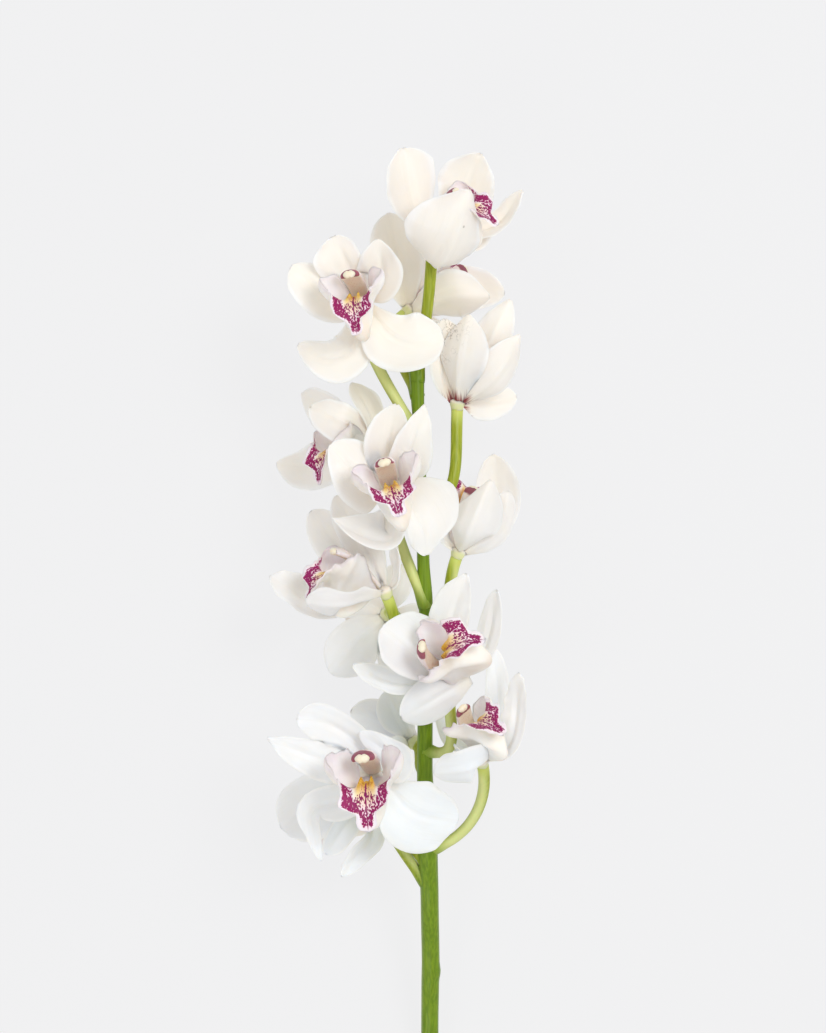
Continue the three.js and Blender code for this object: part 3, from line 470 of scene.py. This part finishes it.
def both_sides(sheet, reach, thick):
    """The faces of a blade, which thins from its middle to nothing at its margins."""
    half_thick = mix(*thick, reach) * np.sqrt(1 - reach**THINS) / 2
    along = np.gradient(sheet, axis=0)
    normal = unit(np.cross(np.gradient(sheet, axis=1), along) + 1e-12)
    return sheet + normal * half_thick, sheet - normal * half_thick


def outline(t, root):
    """A petal's half width along it, as a share of its widest."""
    widest, point, blunt, least = TEPAL_OUTLINE.values()
    rising = mix(root, 1, np.sin(np.minimum(t / widest, 1) * np.pi / 2))
    s = np.clip((t - widest) / (1 - widest), 0, 1)
    return np.where(t < widest, rising, np.maximum(least, (1 - s**point) ** blunt))


def half_widths(shape, t):
    """The half widths of a petal's left and right sides along it."""
    half, root = shape["half"], shape.get("root", PETAL_ROOT)
    if np.isscalar(half):
        return [half * outline(t, root)] * 2
    rounds, over, least = STEPPED_OUTLINE.values()
    rounding = np.sqrt(1 - np.clip((t - rounds) / over, 0, 1) ** 2)
    return [np.maximum(least, through([max(side) * root, *side], t) * rounding) for side in half]


def rib_line(points, t):
    """Places, directions and distances at shares t of the length of a smooth line through points."""
    points = np.array(points, float)
    points = np.vstack([2 * points[0] - points[1], points, 2 * points[-1] - points[-2]])
    end = 1 / (len(points) - 1)
    fine = np.linspace(end, 1 - end, RIB_SAMPLES)
    line = np.stack([through(points[:, axis], fine) for axis in range(3)], -1)
    length = np.concatenate([[0], np.cumsum(np.linalg.norm(np.diff(line, axis=0), axis=1))])
    wanted = t[:, 0, 0] * length[-1]
    point, along = (
        np.stack([np.interp(wanted, length, given[:, axis]) for axis in range(3)], -1)[:, None]
        for given in (line, np.gradient(line, axis=0))
    )
    return point, unit(along), wanted[:, None, None]


def petal_line(around, shape, t):
    """A petal's middle line, the ways to its right and out of its inner face, and distances along it."""
    rib = np.array(shape["rib"], float)
    forward, stalk = around["forward"], around["stalk"]
    radial = unit(rib[0] - dot(rib[0], forward) * forward)
    beside = unit(rib[0] - dot(rib[0], stalk) * stalk) * PETAL_FOOT["out"] - stalk * PETAL_FOOT["sunk"]
    point, along, distance = rib_line([shape.get("start", beside), *rib, shape["tip"]], t)
    inward = forward * dot(along, radial) - radial * dot(along, forward)
    looks = np.array(shape.get("looks", inward), float)
    face = unit(looks - dot(looks, along) * along)
    return around["heart"] + point, np.cross(along, face), face, distance


def petal_turn(cup):
    """The turn of a petal's section from its middle to a margin, forward by cup degrees."""
    return lambda s: np.radians(cup) * np.sin(np.minimum(s / CUPPED, 1) * np.pi / 2)


def petal_relief(rng, t, reach, distance, across):
    """How far a petal's waves, frills, groove and ridges lift it."""
    free = smooth(*PETAL_FREE, t)
    wave = ripple(rng, distance, across, *PETAL_WAVE) * free * mix(CALM_RIB, 1, reach**2)
    frill = ripple(rng, distance, across, *PETAL_FRILL) * free * reach**3
    groove = -GROOVE["deep"] * bell(across, GROOVE["wide"]) * (1 - smooth(*GROOVE["ends"], t))
    ridges = RIDGES["high"] * bell(np.abs(across) - RIDGES["apart"], RIDGES["wide"])
    return wave + frill + groove + ridges * free * (1 - smooth(*RIDGES["ends"], t))


def tepal(around, shape, flush, rng):
    """One petal, over a curve from beside the heart along its rib to its tip."""
    rows, columns = PETAL_GRID
    t = (1 - (1 - np.linspace(0, 1, rows + 1)) ** PETAL_EASE)[:, None, None]
    v = np.sin(np.linspace(-1, 1, columns + 1) * np.pi / 2)[None, :, None]
    line, right, face, distance = petal_line(around, shape, t)
    left_half, right_half = half_widths(shape, t)
    half = np.where(v > 0, right_half, left_half)
    left_cup, right_cup = np.broadcast_to(shape["cup"], 2)
    cup = np.where(v > 0, right_cup, left_cup)
    reach = np.abs(v)
    across, up = section(reach, petal_turn(cup), PETAL_STEPS)
    across = np.sign(v) * across * half
    relief = petal_relief(rng, t, reach, distance, across)
    sheet = line + right * across + face * (up * half + relief)
    facts = {"along": distance, "across": across, "share": t, "reach": reach, "flush": flush}
    return closed_sheet(*both_sides(sheet, reach, PETAL_THICK), facts)


# ------------ the parts of a bloom


def frame_of(bloom):
    """A bloom's heart, the seat of its lip and the ways it looks, hangs and meets its stalk."""
    forward = unit(bloom["faces"])
    down = np.array(bloom["lip"], float)
    up = -unit(down - dot(down, forward) * forward)
    heart = np.array(bloom["heart"], float)
    seat = heart + np.array(bloom["seat"])
    stalk_way = unit(bloom.get("arrives", bloom["faces"]))
    right = np.cross(up, forward)
    return {"heart": heart, "seat": seat, "forward": forward, "up": up, "right": right, "stalk": stalk_way}


def spot(around, right, up, forward):
    """Points from their right, up and forward distances."""
    return around["seat"] + around["right"] * right + around["up"] * up + around["forward"] * forward


def heart_knob(around):
    """The swollen top of the stalk that the petals grow from."""
    stalk = around["stalk"]
    across = unit(around["right"] - dot(around["right"], stalk) * stalk)
    side = np.cross(stalk, across)
    swells, rounds, closes, least = HEART_OUTLINE.values()
    steps = np.linspace(0, 1, HEART["rings"])
    rings = []
    for t in steps:
        rounding = math.sqrt(max(least, 1 - max(0, t - rounds) ** 2 * closes))
        size = mix(STALK["neck"], HEART["radius"], smooth(0, swells, t)) * rounding
        centre = around["heart"] + stalk * mix(-HEART["depth"], HEART["top"], t)
        rings.append(ring(centre, across, side, size, HEART["sides"]))
    return tube(rings, {"knob": (1 - smooth(*HEART_GREEN, steps))[:, None]})


def lip_turn(cup):
    """The turn of a lip's section from its middle to a margin."""
    places = np.linspace(0, 1, len(LIP_SECTION["turns"]))
    return lambda s: np.radians(np.interp(s, places, LIP_SECTION["turns"]) * cup / LIP_SECTION["cup"])


def lip_half(t):
    """The lip's half width, which narrows to the hanging lobe and rounds off."""
    shoulder = 1 - LIP_SHOULDER["narrows"] * smooth(*LIP_SHOULDER["ends"], t)
    rounds = LIP_END["rounds"]
    rounding = np.sqrt(1 - np.clip((t - rounds) / (LIP_END["closes"] - rounds), 0, 1) ** 2)
    return np.maximum(LIP_END["least"], through(LIP["half"], t) * shoulder * rounding)


def callus(t, across, size):
    """The height of the two ridges along the lip and of the floor between them."""
    ridge = bell(np.abs(across) - CALLUS["apart"] * size, CALLUS["wide"] * size)
    between = CALLUS["between"] * bell(across, CALLUS["reach"] * size, 4)
    return np.maximum(0, through(LIP["callus"], t)) * size * np.maximum(ridge, between)


def lip_line(around, size, hang, t):
    """The middle line of the lip, the way its sections rise and distances along it."""
    up = (through(LIP["up"], t) + hang * smooth(LIP_HANGS, 1, t)) * size
    forward = through(LIP["forward"], t) * size
    lean = np.radians(through(LIP["lean"], t))
    rise = around["up"] * np.cos(lean) + around["forward"] * np.sin(lean)
    steps = np.hypot(np.diff(up[:, 0, 0]), np.diff(forward[:, 0, 0]))
    distance = np.cumsum(np.concatenate([[0], steps]))[:, None, None]
    return spot(around, 0, up, forward), rise, distance


def lip(around, size, hang, rng):
    """A sac under the column, lobes that stand beside it and a frilled lobe that hangs in front."""
    rows, columns = LIP_GRID
    t = np.linspace(0, 1, rows + 1)[:, None, None]
    x = np.linspace(1, -1, columns + 1)[None, :, None]
    side, reach = np.sign(x), np.abs(x) ** LIP_EASE
    line, rise, distance = lip_line(around, size, hang, t)
    half = lip_half(t) * size
    across, height = section(reach, lip_turn(through(LIP["cup"], t)), LIP_STEPS)
    across = side * across * half * through(LIP["spread"], t)
    scallop = ripple(rng, t * SCALLOPED["length"], side * SCALLOPED["apart"], *LIP_SCALLOP) * size
    across = across + side * reach ** SCALLOPED["power"] * smooth(*SCALLOPED["from"], t) * scallop
    margin = reach ** FRILLED["power"] * smooth(*FRILLED["from"], t)
    frill = ripple(rng, distance * FRILLED["stretch"], across, *LIP_FRILL) * margin * size
    wave = ripple(rng, distance, across, *LIP_WAVE) * size * reach
    sheet = line + around["right"] * across + rise * (height * half + frill + wave)
    inner, outer = both_sides(sheet, reach, LIP_THICK)
    inner = inner + around["up"] * callus(t, across, size)
    high = dot(sheet - around["seat"], around["up"])
    facts = lip_facts(t, high / size, (1 - reach) * half / size, across / size)
    facts["along"] = distance / size
    return closed_sheet(inner, outer, facts)


def lip_facts(t, high, rim, across):
    """Where the lip is marked, yellow and striped, from 0 to 1, and where each point lies."""
    wide, end = np.abs(across), (1 - t) * LIP_LENGTH
    inner = np.interp(high, MARK_INNER["high"], MARK_INNER["wide"])
    arms = smooth(*MARK_ARMS["wide"], wide - inner) * smooth(*MARK_ARMS["from"], t)
    middle = smooth(*MARK_MIDDLE["high"], high) * smooth(*MARK_MIDDLE["from"], t)
    corners = smooth(*MARK_CORNERS["from"], t) * smooth(*MARK_CORNERS["rim"], rim)
    mark = np.maximum(np.maximum(arms, MARK_MIDDLE["strength"] * middle), corners)
    mark = mark * smooth(*UNMARKED["rim"], rim) * smooth(*UNMARKED["end"], end)
    yellow = smooth(*YELLOW["from"], t) * smooth(*YELLOW["to"], t) * smooth(*YELLOW["wide"], wide)
    stripe = smooth(*STRIPE["wide"], wide) * smooth(*STRIPE["from"], t) * smooth(*STRIPE["end"], end)
    return {"mark": mark, "yellow": yellow, "stripe": stripe, "rim": rim, "across": across, "share": t}


def column(around, size):
    """Arched, rounded above, hollowed beneath and ending in a hood."""
    steps, sides = COLUMN_GRID
    t = np.linspace(0, 1, steps + 1)
    up, forward, half, deep = (through(COLUMN[key], t) * size for key in ("up", "forward", "half", "deep"))
    angle = turns(sides)
    above, below = np.maximum(0, np.sin(angle)), np.maximum(0, -np.sin(angle))
    rounds = COLUMN_END["rounds"]
    rings = []
    for k in range(steps + 1):
        closing = math.sqrt(max(COLUMN_END["least"], 1 - max(0, (t[k] - rounds) / (1 - rounds)) ** 2))
        wide = half[k] * np.cos(angle) * closing
        tall = deep[k] * np.sin(angle) * closing
        hollow = HOLLOW["deep"] * deep[k] * smooth(*HOLLOW["from"], t[k]) * below**2
        brim = BRIM["out"] * size * smooth(*BRIM["from"], t[k]) * above
        places = (wide, up[k] + tall + hollow, forward[k] + brim)
        rings.append(spot(around, *(place[:, None] for place in places)))
    return tube(rings, {"share": t[:, None], "under": below})


def anther(around, size):
    """The two-lobed cap under the hood."""
    steps, sides = ANTHER["steps"], ANTHER["sides"]
    angle = turns(sides)
    lobed = 1 + ANTHER_LOBES * np.cos(2 * angle)
    cleft = 1 - ANTHER_CLEFT["deep"] * bell(np.cos(angle), ANTHER_CLEFT["wide"])
    rings = []
    for k in range(steps + 1):
        turn = math.pi * k / steps
        wide = ANTHER["half"] * math.sin(turn) * np.cos(angle) * lobed
        tall = ANTHER["tall"] * math.sin(turn) * np.sin(angle) * cleft
        reach = ANTHER["forward"] - ANTHER["deep"] * math.cos(turn)
        rings.append(spot(around, wide[:, None] * size, (ANTHER["up"] + tall)[:, None] * size, reach * size))
    return tube(rings, {})


# ------------ stem and stalks


def stem_at(y):
    """The stem's sideways place, height and radius at distances along it."""
    table = np.array(STEM, float)
    k = np.clip(np.searchsorted(table[:, 0], y) - 1, 0, len(table) - 2)
    a, b = table[k], table[k + 1]
    s = (y - a[..., 0]) / (b[..., 0] - a[..., 0])
    s = mix(smooth(0, 1, s), s, 0.5)
    return [mix(a[..., i], b[..., i], s) for i in (1, 2, 3)]


def main_stem():
    """Faintly ribbed, and flattened where it lies on the floor."""
    count = int(STEM[-1][0] / STEM_RING_SPACING)
    y = np.linspace(0, STEM[-1][0], count + 1)
    x, z, r = stem_at(y)
    angle = turns(STEM_SIDES)
    coarse = COARSE_RIBS["high"] * np.sin(COARSE_RIBS["count"] * angle + COARSE_RIBS["turned"])
    fine = FINE_RIBS["high"] * np.sin(FINE_RIBS["count"] * angle + y[:, None] / FINE_RIBS["twist"])
    radius = r[:, None] + (coarse + fine)
    px = x[:, None] + radius * np.sin(angle)
    pz = np.maximum(0, z[:, None] + radius * np.cos(angle))
    rings = np.stack([px, np.broadcast_to(y[:, None], px.shape), pz], -1)
    # side is where the stem is painted lighter: a painted highlight on its lit side.
    return tube(rings, {"side": 0.5 + 0.5 * np.sin(angle - STEM_PAINTED_HIGHLIGHT_TURN), "green": 1})


def stalk(bloom, around):
    """From inside the stem to the heart of its bloom."""
    x, z, _ = stem_at(np.array(float(bloom["root"])))
    start = np.array([x, bloom["root"], z], float)
    end = around["heart"] - around["stalk"] * (HEART["depth"] - STALK["sinks"])
    reach = np.linalg.norm(end - start) * bloom["bow"]
    nearly = start + unit(bloom["leaves"]) * reach
    before = end - around["stalk"] * reach
    ribs = STALK["ribs"] * np.sin(3 * turns(STALK["sides"]))[:, None]
    share = np.linspace(0, 1, STALK["steps"] + 1)
    across = around["right"]
    rings = []
    for t in share:
        s = 1 - t
        point = s**3 * start + 3 * t * s**2 * nearly + 3 * t**2 * s * before + t**3 * end
        along = unit(s**2 * (nearly - start) + 2 * t * s * (before - nearly) + t**2 * (end - before))
        across = unit(across - dot(across, along) * along)
        swell = STALK["swells"] * (1 - smooth(0, STALK["swell_ends"], t))
        size = mix(STALK["root"], STALK["neck"], t) + swell
        plain = ring(point, across, np.cross(along, across), size, STALK["sides"])
        rings.append(plain + (plain - point) * ribs)
    share = share[:, None]
    # side is where a stalk is painted lighter: a painted highlight that winds along it.
    painted_highlight_side = turns(STALK["sides"]) + STALK_PAINTED_HIGHLIGHT_TWIST * share + bloom["root"]
    return tube(rings, {"green": 1 - share, "side": 0.5 + 0.5 * np.sin(painted_highlight_side)})


# ------------ materials


class Graph:
    """A material's node tree, with short calls for its usual nodes."""

    def __init__(self, name, **sockets):
        self.material = bpy.data.materials.new(name)
        self.material.use_nodes = True
        self.tree = self.material.node_tree
        self.shader = self.tree.nodes["Principled BSDF"]
        for socket, value in sockets.items():
            self.feed(self.shader.inputs[socket.replace("_", " ")], value)

    def feed(self, socket, value):
        if isinstance(value, bpy.types.NodeSocket):
            self.tree.links.new(value, socket)
        else:
            socket.default_value = value

    def node(self, kind, inputs, output, **settings):
        """An output of a new node, whose inputs are values or other outputs."""
        made = self.tree.nodes.new("ShaderNode" + kind)
        for key, value in settings.items():
            setattr(made, key, value)
        for key, value in inputs.items():
            self.feed(made.inputs[key], value)
        return made.outputs[output]

    def fact(self, name):
        """One of the numbers that a shape gives for each of its points."""
        return self.node("Attribute", {}, "Fac", attribute_name=name)

    def place(self):
        return self.node("TexCoord", {}, "Object")

    def axis(self, place, k):
        return self.node("SeparateXYZ", {0: place}, k)

    def vector(self, x, y, z):
        return self.node("CombineXYZ", {0: x, 1: y, 2: z}, 0)

    def distance(self, place, point):
        return self.node("VectorMath", {0: place, 1: point}, "Value", operation="DISTANCE")

    def math(self, operation, a, b=0.0):
        return self.node("Math", {0: a, 1: b}, 0, operation=operation)

    def times(self, a, b):
        return self.math("MULTIPLY", a, b)

    def plus(self, a, b):
        return self.math("ADD", a, b)

    def swing(self, noise, reach):
        """A noise's ups and downs either side of nothing."""
        return self.times(self.math("SUBTRACT", noise, 0.5), reach)

    def ease(self, span, value):
        """0 at the start of a span and 1 at its end."""
        inputs = {0: value, 1: span[0], 2: span[1]}
        return self.node("MapRange", inputs, 0, interpolation_type="SMOOTHSTEP")

    def blend(self, share, a, b):
        return self.node("Mix", {0: share, 6: a, 7: b}, 2, data_type="RGBA")

    def noise(self, place, scale, detail=2.0):
        return self.node("TexNoise", {"Vector": place, "Scale": scale, "Detail": detail}, "Fac")

    def cells(self, place, scale):
        return self.node("TexVoronoi", {"Vector": place, "Scale": scale}, "Distance")

    def bump(self, height, distance, strength):
        inputs = {"Height": height, "Distance": distance * MM, "Strength": strength}
        self.feed(self.shader.inputs["Normal"], self.node("Bump", inputs, 0))

    def tint(self, base, colour, where, strength):
        return self.blend(self.times(where, strength), base, colour)

    def colour(self, socket):
        self.feed(self.shader.inputs["Base Color"], socket)


def rgb(*bytes_):
    """A linear colour from its sRGB bytes."""
    return tuple(((b / 255 + 0.055) / 1.055) ** 2.4 if b > 10 else b / 3294.6 for b in bytes_) + (1.0,)


PETAL_COLOURS = {
    "lower": rgb(240, 245, 249),
    "upper": rgb(250, 239, 227),
    "cloud": rgb(234, 228, 220),
    "vein": rgb(226, 222, 212),
    # margin is painted lighter than the rest of the petal: a painted highlight along the thin edges.
    "margin": rgb(255, 254, 249),
    # foot is partly the petals' own warm tint at their feet and partly painted shade near the throat.
    "foot": rgb(238, 224, 204),
    "flush": rgb(132, 44, 58),
    "knob": rgb(214, 220, 144),
    "scar": rgb(140, 124, 108),
}
UP_THE_STEM = (-0.08, 0.21)  # metres, from the lower blooms' colour to the upper ones'
SCARS = {"at": (9.8, 497, 78), "reach": 20}  # old scratches where two blooms rub
LIP_COLOURS = {
    "outside": (rgb(250, 244, 236), rgb(240, 228, 214)),
    "inside": (rgb(255, 250, 250), rgb(252, 232, 242)),
    "streak": rgb(226, 190, 210),
    "rim": rgb(240, 214, 228),
    "callus": (rgb(232, 190, 70), rgb(196, 134, 28)),
    "before_callus": rgb(250, 240, 200),
    "past_callus": rgb(250, 236, 176),
    "halo": rgb(228, 168, 204),
    "mark": rgb(142, 12, 92),
}
COLUMN_COLOURS = {
    # under is the column's own tan, painted paler than it is: painted light against the shade under the hood
    # and in the throat.
    "under": (rgb(255, 240, 226), rgb(255, 226, 206)),
    "dot": rgb(216, 158, 130),
    "back": (rgb(244, 238, 230), rgb(236, 214, 216)),
    "flush": rgb(134, 28, 66),
}
ANTHER_COLOURS = (rgb(250, 244, 226), rgb(240, 226, 196))
STEM_COLOURS = {
    "stem": (rgb(98, 128, 10), rgb(120, 148, 22)),
    # The lit greens are painted highlights on one side of the stem and of the stalks.
    "stem_painted_highlight": rgb(168, 188, 70),
    "stalk": (rgb(138, 152, 24), rgb(166, 176, 50)),
    "stalk_painted_highlight": rgb(218, 224, 150),
    "neck": rgb(200, 210, 104),
}
FLOOR_COLOURS = (rgb(80, 80, 80), rgb(82, 82, 82))
FLOOR_GLOW = {"Emission_Color": rgb(241, 241, 242), "Emission_Strength": 0.9}
FLESH_RADIUS = (1.0, 0.85, 0.7)  # how far red, green and blue light go in, beside each other


def flesh(name, radius, weight, **more):
    """Light goes into it for about radius millimetres."""
    more.update(Subsurface_Weight=weight, Subsurface_Scale=radius * MM, Subsurface_Radius=FLESH_RADIUS)
    return Graph(name, Roughness=0.5, IOR=1.4, **more)


def scars(g, place):
    """Scratches in one place and a few specks everywhere, from 0 to 1."""
    reach = SCARS["reach"] * MM
    near = g.ease((reach, 0.4 * reach), g.distance(place, in_row_frame(SCARS["at"]).tolist()))
    lines = g.math("ABSOLUTE", g.math("SUBTRACT", g.noise(place, 260.0, 4.0), 0.5))
    scratched = g.times(near, g.ease((0.03, 0.01), lines))
    scratched = g.times(scratched, g.ease((0.42, 0.55), g.noise(place, 110.0, 1.0)))
    return g.math("MAXIMUM", scratched, g.ease((0.032, 0.018), g.cells(place, 34.0)))


def petal_material():
    g = flesh("petal", 5.0, 0.7, Sheen_Weight=0.05)
    share, place, colours = g.fact("share"), g.place(), PETAL_COLOURS
    base = g.blend(g.ease(UP_THE_STEM, g.axis(place, 1)), colours["lower"], colours["upper"])
    clouds = g.ease((0.35, 0.75), g.noise(place, 28.0, 3.0))
    base = g.tint(base, colours["cloud"], clouds, 0.45)
    veins = g.vector(g.times(g.fact("across"), 0.9), g.times(g.fact("along"), 0.035), share)
    veins = g.noise(veins, 1.0, 4.0)
    base = g.tint(base, colours["vein"], g.ease((0.5, 0.72), veins), 0.1)
    # Lighter towards the margins: a painted highlight along the thin edges.
    base = g.tint(base, colours["margin"], g.ease((0.75, 1.0), g.fact("reach")), 0.8)
    # Warmer and darker towards the feet: partly the petals' own tint, partly painted shade near the throat.
    base = g.tint(base, colours["foot"], g.ease((0.32, 0.0), share), 0.6)
    flushed = g.ease((0.17, 0.0), g.plus(share, g.swing(veins, 0.5)))
    base = g.tint(base, colours["flush"], flushed, g.fact("flush"))
    base = g.tint(base, colours["knob"], g.fact("knob"), 0.7)
    base = g.tint(base, colours["scar"], scars(g, place), 0.5)
    g.colour(base)
    g.bump(g.plus(g.times(veins, 0.35), g.times(g.noise(place, 900.0), 0.08)), 0.5, 0.5)
    return g.material


def lip_flesh(g, place, front, streaks):
    """The lip's white, blushing inside and towards its margin."""
    rim = g.fact("rim")
    blush = g.ease((0.35, 0.75), g.noise(place, 60.0))
    outside = g.blend(blush, *LIP_COLOURS["outside"])
    inside = g.blend(blush, *LIP_COLOURS["inside"])
    pink = g.times(g.ease((0.5, 0.75), streaks), g.ease((9.0, 1.0), rim))
    inside = g.tint(inside, LIP_COLOURS["streak"], pink, 0.45)
    base = g.blend(g.ease((0.3, 0.7), front), outside, inside)
    return g.tint(base, LIP_COLOURS["rim"], g.ease((5.0, 0.5), rim), 0.4)


def lip_yellow(g, place, share):
    """Ochre on the callus, paler before it and past it."""
    ochre = g.blend(g.ease((0.4, 0.7), g.noise(place, 500.0)), *LIP_COLOURS["callus"])
    past = g.blend(g.ease((0.76, 0.84), share), ochre, LIP_COLOURS["past_callus"])
    return g.blend(g.ease((0.56, 0.5), share), past, LIP_COLOURS["before_callus"])


def lip_ink(g, place, mark, across, along):
    """Where the ragged spots of the mark lie, from 0 to 1; they run together where the mark is strong."""
    wander = g.swing(g.noise(place, 260.0), 1.5)
    flow = g.vector(g.plus(across, wander), g.plus(g.times(along, 0.62), wander), 0.0)
    ragged = g.swing(g.noise(place, 420.0), 0.5)
    level = g.plus(g.times(mark, 0.76), g.math("SUBTRACT", ragged, g.cells(flow, 1.6)))
    return g.times(g.ease((-0.05, 0.06), level), g.ease((0.05, 0.3), mark))


def lip_material():
    g = flesh("lip", 4.0, 0.7)
    across, along, mark, front = (g.fact(key) for key in ("across", "along", "mark", "front"))
    place = g.place()
    streaks = g.noise(g.vector(g.times(across, 0.8), g.times(along, 0.08), 3.0), 1.0, 3.0)
    base = lip_flesh(g, place, front, streaks)
    base = g.blend(g.times(g.fact("yellow"), front), base, lip_yellow(g, place, g.fact("share")))
    base = g.tint(base, LIP_COLOURS["halo"], g.times(mark, front), 0.55)
    ink = g.math("MAXIMUM", lip_ink(g, place, mark, across, along), g.fact("stripe"))
    ink = g.times(ink, g.ease((0.4, 0.6), front))
    g.colour(g.blend(ink, base, LIP_COLOURS["mark"]))
    g.bump(g.plus(streaks, g.times(ink, -0.3)), 0.3, 0.5)
    return g.material


def column_material(hood):
    """hood is how far the flush comes down from the column's end."""
    g = flesh(f"column_{int(hood * 100)}", 5.0, 0.9)
    place = g.place()
    dots = g.cells(place, 1100.0)
    # The underside's tan is painted paler than its own: painted light against the shade in the throat.
    under = g.blend(g.noise(place, 200.0), *COLUMN_COLOURS["under"])
    under = g.blend(g.ease((0.2, 0.1), dots), under, COLUMN_COLOURS["dot"])
    back = g.blend(g.noise(place, 90.0), *COLUMN_COLOURS["back"])
    base = g.blend(g.ease((0.1, 0.5), g.fact("under")), back, under)
    edge = g.plus(g.fact("share"), g.swing(g.noise(place, 300.0), 0.12))
    flush = g.ease((0.97 - 0.2 * hood, 0.985 - 0.16 * hood), edge)
    g.colour(g.tint(base, COLUMN_COLOURS["flush"], flush, 0.9))
    g.bump(dots, 0.2, 0.5)
    return g.material


def anther_material():
    g = flesh("anther", 2.0, 0.5)
    grain = g.noise(g.place(), 700.0, 3.0)
    g.colour(g.blend(grain, *ANTHER_COLOURS))
    g.bump(grain, 0.25, 0.5)
    return g.material


def stem_material():
    """Deep green on the stem, fresher on the stalks and pale at their necks, with a painted highlight down
    one side of each.
    """
    g = Graph("stem", Roughness=0.38, IOR=1.4, Subsurface_Weight=0.1, Subsurface_Scale=1.0 * MM)
    green, place = g.fact("green"), g.place()
    x, y, z = (g.axis(place, k) for k in range(3))
    streak = g.noise(g.vector(x, g.times(y, 0.04), z), 900.0, 3.0)
    # side marks the painted highlight, which lightens one side of the stem and of each stalk.
    grain, painted_highlight_side = g.ease((0.3, 0.7), streak), g.ease((0.35, 1.0), g.fact("side"))
    deep = g.blend(grain, *STEM_COLOURS["stem"])
    fresh = g.blend(grain, *STEM_COLOURS["stalk"])
    deep = g.tint(deep, STEM_COLOURS["stem_painted_highlight"], painted_highlight_side, 0.4)
    fresh = g.tint(fresh, STEM_COLOURS["stalk_painted_highlight"], painted_highlight_side, 0.85)
    base = g.blend(g.ease((0.98, 0.8), green), deep, fresh)
    g.colour(g.blend(g.ease((0.14, 0.0), green), base, STEM_COLOURS["neck"]))
    g.bump(g.plus(streak, g.times(g.noise(place, 1500.0), 0.2)), 0.3, 0.6)
    return g.material


# ------------ assembly


def dress():
    petal_paint, lip_paint, anther_paint = petal_material(), lip_material(), anther_material()
    column_paints = {}
    green = [main_stem()]
    for number, given in enumerate(BLOOMS, 1):
        bloom = {**BLOOM_DEFAULTS, **given}
        rng = np.random.default_rng(SEED + number)
        name = f"{number:02d}"
        around, size, hood = frame_of(bloom), bloom["size"], bloom["hood"]
        petals = [tepal(around, bloom[key], bloom["flush"], rng) for key in TEPALS]
        piece("petals_" + name, [heart_knob(around)] + petals, petal_paint, f"bloom_{name}_tepals")
        piece("lip_" + name, [lip(around, size, bloom["hang"], rng)], lip_paint, f"bloom_{name}_lip")
        if hood not in column_paints:
            column_paints[hood] = column_material(hood)
        piece("column_" + name, [column(around, size)], column_paints[hood], f"bloom_{name}_column")
        piece("anther_" + name, [anther(around, size)], anther_paint, f"bloom_{name}_column")
        green.append(stalk(bloom, around))
    piece("flower_stem", green, stem_material(), "stem")


FLOOR = {"size": 12, "below": 0.5}  # metres across, and millimetres below what lies on it


def floor():
    bpy.ops.mesh.primitive_plane_add(size=FLOOR["size"], location=(0, 0, -FLOOR["below"] * MM))
    made = bpy.context.object
    made.name = "floor"
    g = Graph("floor", Roughness=1.0, Specular_IOR_Level=0.0, **FLOOR_GLOW)
    g.colour(g.blend(g.noise(g.place(), 3.0), *FLOOR_COLOURS))
    made.data.materials.append(g.material)


# In metres of the frame: where each lamp stands, its power in watts, and the point that they shine at.
LAMPS = [("key", (0.75, 0.6, 1.7), 15.0), ("fill", (-0.7, -0.9, 1.5), 5.0)]
LAMP_SIZE = 0.8
LAMPS_AIM = (0, 0, 0.05)
SKY_LIGHT = 0.64


def studio():
    scene = bpy.context.scene
    world = bpy.data.worlds.new("studio")
    scene.world = world
    world.use_nodes = True
    background = world.node_tree.nodes["Background"]
    background.inputs["Color"].default_value = (1.0, 1.0, 1.0, 1.0)
    background.inputs["Strength"].default_value = SKY_LIGHT
    for name, place, energy in LAMPS:
        light = bpy.data.lights.new(name, "AREA")
        light.shape, light.size, light.energy = "DISK", LAMP_SIZE, energy
        lamp = bpy.data.objects.new(name, light)
        lamp.location = place
        direction = Vector(LAMPS_AIM) - Vector(place)
        lamp.rotation_euler = direction.to_track_quat("-Z", "Y").to_euler()
        scene.collection.objects.link(lamp)
    scene.view_settings.view_transform = "Standard"


CAMERA = {"at": (-9.35, 398, 1648), "lens": 100, "sensor": 36}


def camera():
    """Straight down, from above the middle of the blooms."""
    lens = bpy.data.cameras.new("camera")
    lens.lens, lens.sensor_fit, lens.sensor_height = CAMERA["lens"], "VERTICAL", CAMERA["sensor"]
    made = bpy.data.objects.new("camera", lens)
    made.location = in_row_frame(CAMERA["at"]).tolist()
    bpy.context.scene.collection.objects.link(made)
    bpy.context.scene.camera = made


dress()
floor()
studio()
camera()
